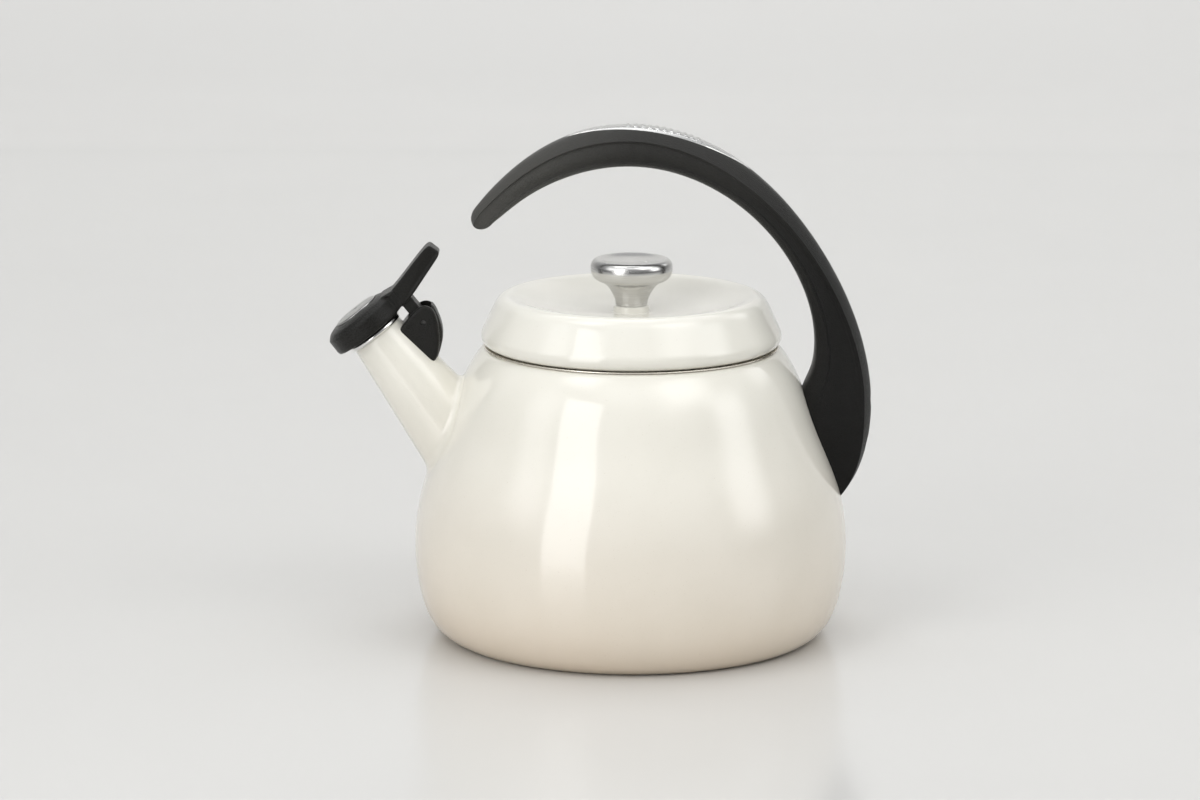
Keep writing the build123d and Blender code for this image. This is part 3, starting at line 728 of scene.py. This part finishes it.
def section(o_, i_, w_, idx, flat=0.0):
    half = dense(half_section(idx, flat))
    pts = list(half) + [np.array([t, -q]) for t, q in half[::-1][1:-1]]
    d = i_ - o_
    return [np.array([o_[0] + t * d[0], q * w_, o_[1] + t * d[1]]) for t, q in pts]


STEPS = 5
fine_idx = np.linspace(0, len(HANDLE) - 1, (len(HANDLE) - 1) * STEPS + 1)
fo, fi, fw = natural(IDX, HO, fine_idx), natural(IDX, HI, fine_idx), natural(IDX, HW, fine_idx)
rings = []
c0, half0 = (HO[0] + HI[0]) / 2, (HO[0] - HI[0]) / 2
fwd = np.array([half0[1], -half0[0]])
fwd = fwd / np.linalg.norm(fwd)
if fwd[1] > 0:
    fwd = -fwd
R0 = np.linalg.norm(half0)
for a in np.radians([86, 80, 72, 63, 54, 45, 36, 27, 18, 9]):
    cc = c0 + fwd * R0 * 1.30 * math.sin(a)
    hh = half0 * math.cos(a)
    rings.append(section(cc + hh, cc - hh, HW[0] * (math.cos(a) ** 0.42 if a > 0 else 1) * (0.86 + 0.14 * math.cos(a)), 0.0, math.sin(a)**3))
for q, i in enumerate(fine_idx):
    rings.append(section(fo[q], fi[q], fw[q], i))
nr, nv = len(rings), len(rings[0])
verts = [p for r in rings for p in r]
clamped = []
for p in verts:
    m = math.hypot(p[0], p[1])
    if p[2] < 127 and p[0] > 0:
        lim = r_out(p[2]) - 0.45
        if m < lim:
            p = np.array([p[0] * lim / m, p[1] * lim / m, p[2]])
    clamped.append(p)
verts = clamped
faces = grid_faces(nr, nv)
tip = len(verts)
verts.append(np.mean(verts[:nv], axis=0) + np.array([fwd[0], 0, fwd[1]]) * 0.05)
faces += [(tip, (j + 1) % nv, j) for j in range(nv)]
end = len(verts)
verts.append(np.mean(verts[(nr - 1) * nv:nr * nv], axis=0))
base_i = (nr - 1) * nv
faces += [(end, base_i + j, base_i + (j + 1) % nv) for j in range(nv)]
grip = make("handle_grip_moulding", verts, faces, M_GRIP, 60)

# recesses for the two fixing screws in the back of the foot
FT = math.radians(20.6)
FX, FN = np.array([-math.sin(FT), 0, math.cos(FT)]), np.array([math.cos(FT), 0, math.sin(FT)])
FO = np.array([85.05, 0, 89.0])
for sgn in (-1, 1):
    cut = [(0, 8.9), (3.7, 8.9), (4.0, 9.2), (4.0, 60.0), (0, 60.0)]
    cutter = lathe("cutter", cut, None, 48, place=lambda x, y, z, sgn=sgn: FO + FX * (sgn * 9.0 + x) + FN * z + np.array([0, y, 0]),
                   closed=False)
    boolean(grip, cutter)
finish_mesh(grip.data, 50)
grip.data.materials.clear()
grip.data.materials.append(M_GRIP)

# bright strip in the crown, with a row of plain ribs
I0, I1 = 7.05, 19.15
NS, NY = 640, 21
strip_rings = []
for q in range(NS + 1):
    f = q / NS
    i = I0 + (I1 - I0) * f
    o_ = natural(IDX, HO, [i])[0]
    n_ = natural(IDX, HI, [i])[0]
    w_ = float(natural(IDX, HW, [i])[0])
    d = n_ - o_
    tlen = np.linalg.norm(d)
    d = d / tlen
    taper = math.sqrt(max(0.0, 1 - (2 * f - 1)**2)) ** 1.25
    hw = 6.4 * max(taper, 0.02)
    r = float(key(RIDGE, i)) * tlen
    g = crown
    # plain ribs in the middle third
    rib = 0.0
    if 0.30 < f < 0.70:
        ph = (f - 0.30) / 0.40 * 11
        x = abs(ph - math.floor(ph) - 0.5) / 0.5
        t = min(1.0, max(0.0, (0.70 - x) / 0.34))
        rib = t * t * (3 - 2 * t)
    ring = []
    for k in range(NY):
        v = -1 + 2 * k / (NY - 1)
        y = v * hw
        edge = min(1.0, (1 - abs(v)) / 0.16)
        rise = 0.42 * math.sqrt(max(0.0, 1 - (1 - edge)**2)) - 0.10
        if rib and abs(v) < 0.62:
            rise += 0.36 * rib * min(1.0, (0.62 - abs(v)) / 0.10)
        rise = rise * min(1.0, taper * 3)
        s_ = r * g(min(1.0, abs(y) / w_)) - rise
        ring.append((o_[0] + d[0] * s_, y, o_[1] + d[1] * s_))
    for k in reversed(range(NY)):
        v = -1 + 2 * k / (NY - 1)
        y = v * hw
        s_ = r * g(min(1.0, abs(y) / w_)) + 0.7
        ring.append((o_[0] + d[0] * s_, y, o_[1] + d[1] * s_))
    strip_rings.append(ring)
nv = len(strip_rings[0])
verts = [p for r in strip_rings for p in r]
faces = grid_faces(len(strip_rings), nv)
faces.append(tuple(reversed(range(nv))))
faces.append(tuple(range((len(strip_rings) - 1) * nv, len(strip_rings) * nv)))
inlay = make("handle_bright_strip", verts, faces, M_INLAY, 40)

# ------------------------------------------------------------------ voxel remesh of moulded pieces


def moulding(name, parts_, mat, voxel=0.0004, smooth=6, cuts=(), factor=0.5, sharp=60):
    """Solids joined into one moulding with softly rounded inner and outer corners."""
    bm = bmesh.new()
    for p in parts_:
        bm.from_mesh(p.data)
    me = bpy.data.meshes.new(name)
    bm.to_mesh(me)
    bm.free()
    for p in parts_:
        bpy.data.objects.remove(p)
    o = bpy.data.objects.new(name, me)
    COL.objects.link(o)

    def apply(kind, **kw):
        m = o.modifiers.new("m", kind)
        for k_, v_ in kw.items():
            setattr(m, k_, v_)
        dg = bpy.context.evaluated_depsgraph_get()
        dg.update()
        new = bpy.data.meshes.new_from_object(o.evaluated_get(dg))
        o.modifiers.clear()
        o.data = new

    apply("REMESH", mode="VOXEL", voxel_size=voxel, adaptivity=0.0)
    if cuts:
        for c in cuts:
            m = o.modifiers.new("m", "BOOLEAN")
            m.operation, m.solver, m.object = "DIFFERENCE", "EXACT", c
            dg = bpy.context.evaluated_depsgraph_get()
            dg.update()
            new = bpy.data.meshes.new_from_object(o.evaluated_get(dg))
            o.modifiers.clear()
            o.data = new
            bpy.data.objects.remove(c)
        apply("REMESH", mode="VOXEL", voxel_size=voxel, adaptivity=0.0)
    apply("SMOOTH", factor=factor, iterations=smooth)
    o.data.name = name
    finish_mesh(o.data, sharp)
    o.data.materials.clear()
    o.data.materials.append(mat)
    return o


def slab(name, outline, half_w, bevel=0.0, y_mid=0.0, steps=3, place=None):
    """Outline of (x, z) points thickened to half_w each side of y_mid, its two long rims rounded."""
    p = np.array(outline, float)
    area = 0.5 * np.sum(p[:, 0] * np.roll(p[:, 1], -1) - np.roll(p[:, 0], -1) * p[:, 1])
    if area < 0:
        p = p[::-1]
    prev, nxt = np.roll(p, 1, 0), np.roll(p, -1, 0)
    t = nxt - prev
    t /= np.linalg.norm(t, axis=1)[:, None]
    nrm = np.c_[t[:, 1], -t[:, 0]]
    layers = []
    if bevel > 0:
        for i in range(steps + 1):
            a = math.pi / 2 * i / steps
            layers.append((bevel * (1 - math.sin(a)), -half_w + bevel * (1 - math.cos(a))))
        layers += [(d, -y) for d, y in reversed(layers)]
    else:
        layers = [(0, -half_w), (0, half_w)]
    verts_, n = [], len(p)
    for d, y in layers:
        for q in range(n):
            x, z = p[q] - nrm[q] * d
            verts_.append((x, y + y_mid, z))
    f = grid_faces(len(layers), n)
    f.append(tuple(reversed(range(n))))
    f.append(tuple(range((len(layers) - 1) * n, len(layers) * n)))
    if place is not None:
        verts_ = [place(*v) for v in verts_]
    return make(name, verts_, f, None)


def uh(pts):
    return [tuple((spout_pt(u, 0, h))[[0, 2]]) for u, h in pts]


# ------------------------------------------------------------------ whistle cap: shell, lever, arm and hub
CAP0 = -1.1
at_cap = lambda x, y, z: spout_pt(x + CAP0, y, z)
cap_prof = rounded([(17.5, 3.25), (17.95, 4.7), (17.9, 10.45), (15.8, 12.6), (13.2, 13.6), (10.75, 14.0), (10.75, 13.2), (4.5, 13.2),
                    (4.5, 11.5), (15.7, 11.5), (15.7, 3.25)], [0.35, 1.5, 0.3, 2.5, 3.0, 0.25, 0.2, 0.3, 0.3, 0.5, 0.4], 5)
cap_shell = lathe("cap_a", cap_prof, None, 160, place=at_cap)
lever_out = through([(14.2, 11.9), (16.4, 12.2), (20.0, 12.9), (25.8, 14.3), (32.6, 16.1), (38.6, 17.6), (41.0, 18.1)], 26)
lever_tip = rounded([tuple(lever_out[-1]), (43.9, 18.3), (45.6, 12.6), (43.4, 11.4)], [0, 1.5, 1.6, 0], 6, closed=False)[1:-1]
lever_in = through([(43.4, 11.4), (37.5, 9.4), (30.1, 6.9), (23.6, 4.9), (16.8, 3.8)], 18)
lever_prof = np.vstack([lever_out, lever_tip, lever_in, [(14.9, 4.6)]])
lever_xz = uh([tuple(q) for q in lever_prof])
lever = slab("cap_b", lever_xz, 6.9, 0.7, steps=4)
for vtx in lever.data.vertices:
    q = np.array([vtx.co.x / MM, 0, vtx.co.z / MM]) - EM
    u_ = float(q @ EU)
    if u_ > 41.0:
        vtx.co.y *= (2.9 + math.sqrt(max(0.3, 4.7**2 - (u_ - 41.0)**2)) * 4.0 / 4.7) / 6.9
# the tab that carries the lever down the side of the cap
tab = slab("cap_c", uh([tuple(q) for q in rounded([(12.4, 13.2), (18.6, 12.4), (17.9, 4.2), (14.9, 3.7), (14.9, 11.4), (12.4, 12.2)], 0.5, 3)]),
           8.6, 1.2, steps=3)
PINX, PINZ = -92.7, 141.9
arm = slab("cap_d", uh([tuple(q) for q in rounded([(17.5, 6.4), (23.0, 7.2), (23.1, -0.2), (23.5, -7.4), (22.2, -9.6), (19.0, -9.6),
                                                  (17.4, -7.2), (17.6, -1.8)], [0.4, 0.4, 1.5, 2.0, 1.6, 1.6, 2.0, 1.5], 4)]), 5.35, 0.7, steps=3)
hubs = []
for y in (-4.2, 4.2):
    hub_prof = [(0, -1.2), (3.0, -1.2), (3.0, 1.2), (0, 1.2)]
    hubs.append(lathe("cap_h", hub_prof, None, 40, place=lambda a, b, c, y=y: (PINX + a, y + c, PINZ + b), closed=False))
slot_cut = slab("cut_slot", uh([(15.0, -3.4), (26.0, -3.4), (26.0, -13.0), (15.0, -13.0)]), 3.0)
pin_cut = lathe("cut_pin", [(0, -12), (1.12, -12), (1.12, 12), (0, 12)], None, 32, place=lambda a, b, c: (PINX + a, c, PINZ + b), closed=False)
inner_cut = lathe("cut_in", [(0, 3.0), (15.7, 3.0), (15.7, 11.5), (0, 11.5)], None, 96, place=at_cap, closed=False)
cap = moulding("whistle_cap_moulding", [cap_shell, lever, tab, arm] + hubs, M_CAP, 0.00031, 3, (slot_cut, inner_cut, pin_cut))

disc_prof = rounded([(1.15, 13.36), (10.5, 13.36), (10.6, 14.40), (9.9, 14.80), (7.0, 15.0), (3.5, 15.15), (1.5, 15.2), (1.15, 15.0)],
                    [0.1, 0.1, 0.25, 0.8, 3, 3, 0.15, 0.1], 4)
disc = lathe("cap_domed_disc", disc_prof, M_DISC, 128, place=at_cap, sharp=50)
gasket_prof = rounded([(9.95, 2.9), (14.3, 2.9), (14.8, 3.4), (14.8, 4.85), (9.95, 4.85)], 0.35, 4)
gasket = lathe("cap_seal", gasket_prof, M_RUBBER, 96, place=at_cap, sharp=60)

# ------------------------------------------------------------------ hinge housing
cheek = through([(-103.4, 136.6), (-103.3, 138.4), (-102.0, 140.6), (-100.0, 143.2), (-97.6, 146.0), (-95.4, 148.1), (-93.9, 149.0),
                 (-92.0, 149.4), (-90.0, 148.9), (-88.3, 147.3), (-87.0, 144.5), (-86.1, 140.7), (-85.7, 136.4), (-85.7, 132.0),
                 (-86.1, 128.1), (-86.9, 125.6), (-88.3, 124.2), (-90.2, 124.6)], 52)
low = [(-92.5, 125.8), (-96.0, 128.6), (-100.0, 132.2), (-102.6, 134.9)]
outline = np.vstack([cheek, low])
wall_a = slab("hs_a", outline, 8.0, 1.3, steps=4)
back = through([(-95.2, 149.0), (-93.1, 150.0), (-91.1, 150.2), (-89.0, 149.3), (-87.4, 147.2), (-85.8, 143.5), (-84.6, 139.6), (-84.2, 135.7),
                (-84.6, 131.8), (-85.5, 128.3), (-86.5, 125.4)], 34)
back_in = back[::-1] + np.array([-3.2, -1.6])
wall_b = slab("hs_b", np.vstack([back, back_in]), 5.6, 2.2, steps=4)
pocket = slab("hs_cut", [(-89.5, 160.0), (-89.4, 146.9), (-87.8, 142.8), (-86.2, 137.0), (-86.5, 131.4), (-87.4, 130.8), (-100.4, 143.8),
                         (-104.0, 150.0), (-100.0, 160.0)], 5.85)
pin_hole = lathe("hs_cut2", [(0, -12), (1.08, -12), (1.08, 12), (0, 12)], None, 32, place=lambda a, b, c: (PINX + a, c, PINZ + b), closed=False)
spout_core = lathe("hs_cut3", [(0, -60), (cone_r(-60) - 0.45, -60), (cone_r(5) - 0.45, 5), (0, 5)], None, 96, place=at_mouth, closed=False)
housing = moulding("hinge_housing_moulding", [wall_a, wall_b], M_CAP, 0.00030, 3, (pocket, spout_core, pin_hole))

# torsion spring round the pin, its legs on the housing's floor and on the arm
turns, wire, rad = 5.0, 0.42, 2.15
path = []
n_c = 150
y0, y1 = -2.35, 2.35
for i in range(n_c + 1):
    t = i / n_c
    a = math.radians(-70) + turns * 2 * math.pi * t - math.radians(0)
    path.append(np.array([PINX + rad * math.cos(a), y0 + (y1 - y0) * t, PINZ + rad * math.sin(a)]))
t0 = (path[0] - path[1]) / np.linalg.norm(path[0] - path[1])
t1 = (path[-1] - path[-2]) / np.linalg.norm(path[-1] - path[-2])
lead_in = [path[0] + t0 * d for d in (3.2, 2.2, 1.1)]
lead_out = [path[-1] + t1 * d for d in (0.5, 1.0, 1.5)]
path = lead_in + path + lead_out
path = np.array(path)
tan = np.gradient(path, axis=0)
tan /= np.linalg.norm(tan, axis=1)[:, None]
NW = 12
verts = []
for p, t in zip(path, tan):
    e1 = np.array([0, 1.0, 0]) - t[1] * t
    e1 /= np.linalg.norm(e1)
    e2 = np.cross(t, e1)
    for j in range(NW):
        a = 2 * math.pi * j / NW
        verts.append(p + wire * (math.cos(a) * e1 + math.sin(a) * e2))
faces = grid_faces(len(path), NW)
faces.append(tuple(reversed(range(NW))))
faces.append(tuple(range((len(path) - 1) * NW, len(path) * NW)))
spring = make("cap_return_spring", verts, faces, M_SPRING, 60)

# ------------------------------------------------------------------ lid
side = [(59.15, 131.15), (62.6, 131.15)]
lip_arc = bezier((62.6, 131.15), (65.2, 131.15), (67.15, 133.0), (67.15, 135.5), 14)
cone_up = bezier((67.15, 135.5), (67.15, 137.0), (66.5, 138.1), (66.0, 139.2), 6)[1:]
straight = np.array([(66.0 + (61.3 - 66.0) * t, 139.2 + (149.2 - 139.2) * t) for t in np.linspace(0, 1, 8)])[1:]
top_arc = bezier((61.3, 149.2), (59.9, 152.1), (58.2, 153.6), (55.6, 153.6), 16)[1:]
dish = through([(55.6, 153.6), (52.5, 153.05), (47.0, 151.35), (39.0, 149.2), (30.0, 147.5), (20.0, 146.35), (12.0, 145.85), (9.4, 145.75)], 40)[1:]
boss = rounded([(9.4, 145.75), (8.0, 145.8), (7.75, 149.0), (2.4, 149.0)], [0, 0.7, 0.9, 0], 6, closed=False)[1:]
lid_top = np.vstack([side[:1], side[1:], lip_arc[1:], cone_up, straight, top_arc, dish, boss])
lid_low = shifted(np.vstack([top_arc, dish]), 1.2)
low_side = np.array([(64.0 + (59.8 - 64.0) * t, 139.6 + (148.9 - 139.6) * t) for t in np.linspace(0, 1, 6)])
low_lip = bezier((62.6, 132.35), (64.6, 132.35), (65.95, 133.9), (65.95, 135.6), 10)
lid_in = np.vstack([[(59.15, 132.35)], low_lip, [(65.6, 137.4)], low_side[1:-1], lid_low[2:-1:2]])
boss_in = rounded([tuple(lid_in[-1]), (6.9, 144.65), (6.45, 147.8), (2.4, 147.8)], [0, 0.6, 0.6, 0], 5, closed=False)[1:]
prof = np.vstack([lid_top, boss_in[::-1], lid_in[::-1]])
lid = lathe("lid_enamelled", prof, M_LID, 256, sharp=38)
skirt_prof = rounded([(58.7, 119.0), (58.7, 132.42), (61.6, 132.42), (61.6, 133.05), (58.0, 133.05), (58.0, 119.0)], [0.25, 0.1, 0.2, 0.2, 0.6, 0.25], 4)
skirt = lathe("lid_locating_skirt", skirt_prof, M_SKIRT, 192, sharp=50)

knob_side = through([(7.05, 149.6), (7.2, 150.6), (7.7, 152.2), (8.3, 153.6), (9.1, 155.2), (10.2, 156.9), (11.8, 158.5), (13.6, 159.6), (15.3, 160.3),
                     (16.6, 161.2), (17.65, 162.6), (18.2, 164.2), (18.35, 165.8), (18.15, 167.4), (17.45, 168.9), (16.4, 169.75), (15.3, 170.0),
                     (14.0, 169.7), (11.5, 168.95), (7.5, 168.3), (3.5, 167.98), (0.0, 167.9)], 96)
knob_side[-1] = (0.0, 167.9)
knob_foot = rounded([(2.02, 149.05), (6.9, 149.05), (7.05, 149.6)], [0, 0.2, 0], 3, closed=False)
prof = np.vstack([knob_foot[:-1], knob_side, [(0.0, 162.5), (2.02, 162.5)]])
knob = lathe("lid_knob", prof, M_KNOB, 160, sharp=40)

# ------------------------------------------------------------------ riding and replacing
for o, node, slot_ in ((body, "body_shell", "cream_enamel"), (spout, "spout_tube", "spout_enamel"), (mouth, "spout_mouth_ring", "steel_bright"),
                       (rim, "neck_rim_ring", "steel_bright"), (base, "base_pan", "base_enamel"), (grip, "handle_grip", "black_nylon"),
                       (inlay, "handle_inlay_strip", "steel_brushed"), (housing, "hinge_housing", "black_cap")):
    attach(o, "kettle")
    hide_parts(node)
for o, node, slot_ in ((cap, "whistle_cap_body", "black_cap"), (disc, "cap_top_disc", "steel_brushed"), (gasket, "cap_gasket", "silicone")):
    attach(o, "whistle_cap")
    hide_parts(node)
for o, node, slot_ in ((lid, "lid_shell", "lid_enamel"), (skirt, "lid_skirt", "steel_plain"), (knob, "knob", "steel_brushed")):
    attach(o, "lid")
    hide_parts(node)
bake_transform(spring)
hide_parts("cap_torsion_spring")

CAD_MATS = {"handle_bracket": M_PLAIN, "handle_screws": M_PLAIN, "hinge_stud_boss": M_PLAIN, "hinge_screw": M_PLAIN, "hinge_pin": M_PIN_PAINTED_DARK,
            "whistle_plate_upper": M_PLAIN, "whistle_plate_lower": M_PLAIN, "whistle_retainer": M_RETAIN, "knob_screw": M_PLAIN,
            "knob_lock_washer": M_PLAIN}
for n, m in CAD_MATS.items():
    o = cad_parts[n]
    if not o.material_slots:
        o.data.materials.append(m)
    for sl in o.material_slots:
        sl.material = m

# ------------------------------------------------------------------ stage, lights, camera


def stage_material(name, colour, rough):
    k = N(name)
    c = k.mix(k.remap(k.noise(6.0, 3.0), 0.0, 1.0), tuple(x * 0.985 for x in colour), colour)
    k.set(Base_Color=c, Roughness=rough, Normal=k.bump(k.noise(350.0, 3.0), 0.03, 0.0002))
    k.b.inputs["Specular IOR Level"].default_value = 0.45
    return k.m


bm = bmesh.new()
S = 6.0
fl = bpy.data.meshes.new("floor")
nf = 24
gv, gf = [], []
for i in range(nf + 1):
    y = -4.0 + 7.2 * i / nf
    z = -0.0003
    if y > 1.6:
        t = (y - 1.6) / 1.6
        z = 2.6 * t * t - 0.0003
    gv += [(-S, y, z), (S, y, z)]
for i in range(nf):
    a = 2 * i
    gf.append((a, a + 1, a + 3, a + 2))
fl.from_pydata(gv, [], gf)
for p in fl.polygons:
    p.use_smooth = True
bm.free()
floor = bpy.data.objects.new("studio_floor", fl)
COL.objects.link(floor)
fl.materials.append(stage_material("studio_paper", (0.68, 0.675, 0.66), 0.17))


def area(name, az, el, dist, sx, sy, radiance, colour=(1, 1, 1), soft=False, target=(0, 0, 0.10)):
    """Softbox seen from the kettle at azimuth az (0 in front, + to the right) and elevation el, in degrees."""
    l = bpy.data.lights.new(name, "AREA")
    l.shape, l.size, l.size_y, l.color = "RECTANGLE", sx, sy, colour
    l.energy = radiance * math.pi * sx * sy
    if soft:
        # brightest in the middle, fading out towards the rim
        l.use_nodes = True
        t = l.node_tree
        em = next(n for n in t.nodes if n.type == "EMISSION")
        geo = t.nodes.new("ShaderNodeNewGeometry")
        sep = t.nodes.new("ShaderNodeSeparateXYZ")
        t.links.new(geo.outputs["Parametric"], sep.inputs[0])
        fades = []
        for ax in ("X", "Y"):
            mr = t.nodes.new("ShaderNodeMath")
            mr.operation = "PINGPONG"
            mr.inputs[1].default_value = 0.5
            t.links.new(sep.outputs[ax], mr.inputs[0])
            sm = t.nodes.new("ShaderNodeMapRange")
            sm.interpolation_type = "SMOOTHSTEP"
            sm.inputs["From Min"].default_value, sm.inputs["From Max"].default_value = 0.0, 0.42
            t.links.new(mr.outputs[0], sm.inputs["Value"])
            fades.append(sm.outputs["Result"])
        mul = t.nodes.new("ShaderNodeMath")
        mul.operation = "MULTIPLY"
        t.links.new(fades[0], mul.inputs[0])
        t.links.new(fades[1], mul.inputs[1])
        t.links.new(mul.outputs[0], em.inputs["Strength"])
    o = bpy.data.objects.new(name, l)
    COL.objects.link(o)
    a, e = math.radians(az), math.radians(el)
    loc = Vector(target) + dist * Vector((math.cos(e) * math.sin(a), -math.cos(e) * math.cos(a), math.sin(e)))
    o.location = loc
    o.rotation_euler = (Vector(target) - loc).to_track_quat("-Z", "Y").to_euler()
    o.visible_camera = False
    return o


area("strip_left", -35, 17, 1.62, 0.70, 1.25, 3.0, (1.0, 0.995, 0.985))
area("key_right_high", 46, 47, 1.9, 1.7, 1.5, 2.7, (1.0, 0.995, 0.98), soft=True)
area("front_high", -5, 48, 2.6, 2.6, 1.4, 0.7, soft=True)
area("fill_left", -64, 26, 2.0, 1.2, 1.4, 1.4, soft=True)
area("key_left_high", -52, 60, 1.8, 1.1, 1.1, 2.8, soft=True)
area("fill_right", 72, 22, 2.0, 1.3, 1.4, 2.4, soft=True)
area("fill_back_right", 118, 30, 2.2, 1.3, 1.1, 1.4, soft=True)
area("soft_top", 180, 84, 1.6, 1.4, 1.2, 1.6, soft=True)
area("backdrop_wash", 180, 62, 2.7, 3.0, 0.8, 5.2, target=(0, 0, 0.1)).rotation_euler = (math.radians(52), 0, 0)

w = bpy.data.worlds.new("studio")
bpy.context.scene.world = w
w.use_nodes = True
wt = w.node_tree
wc = wt.nodes.new("ShaderNodeTexCoord")
ws = wt.nodes.new("ShaderNodeSeparateXYZ")
wt.links.new(wc.outputs["Generated"], ws.inputs[0])
wm = wt.nodes.new("ShaderNodeMapRange")
wm.inputs["From Min"].default_value, wm.inputs["From Max"].default_value = -0.05, 0.8
wm.inputs["To Min"].default_value, wm.inputs["To Max"].default_value = 0.09, 0.62
wt.links.new(ws.outputs["Z"], wm.inputs["Value"])
wt.links.new(wm.outputs["Result"], wt.nodes["Background"].inputs[1])
wt.nodes["Background"].inputs[0].default_value = (0.98, 0.99, 1.0, 1)
bpy.context.scene.view_settings.view_transform = "Standard"

psi, pit, rho = 0.00634695, 0.203791, 0.0024851
right = np.array([math.cos(psi), math.sin(psi), 0])
upv = np.array([-math.sin(psi) * math.sin(pit), math.cos(psi) * math.sin(pit), math.cos(pit)])
fw_ = np.array([-math.sin(psi) * math.cos(pit), math.cos(psi) * math.cos(pit), -math.sin(pit)])
cx = right * math.cos(rho) + upv * math.sin(rho)
cy = upv * math.cos(rho) - right * math.sin(rho)
cam_data = bpy.data.cameras.new("camera")
cam_data.sensor_width = 36.0
cam_data.lens = 5011.49 / 1200 * 36
cam_data.clip_end = 50
cam = bpy.data.objects.new("camera", cam_data)
COL.objects.link(cam)
m = Matrix(((cx[0], cy[0], -fw_[0], 0), (cx[1], cy[1], -fw_[1], -2.2), (cx[2], cy[2], -fw_[2], 0.5601), (0, 0, 0, 1)))
cam.matrix_world = m
bpy.context.scene.camera = cam
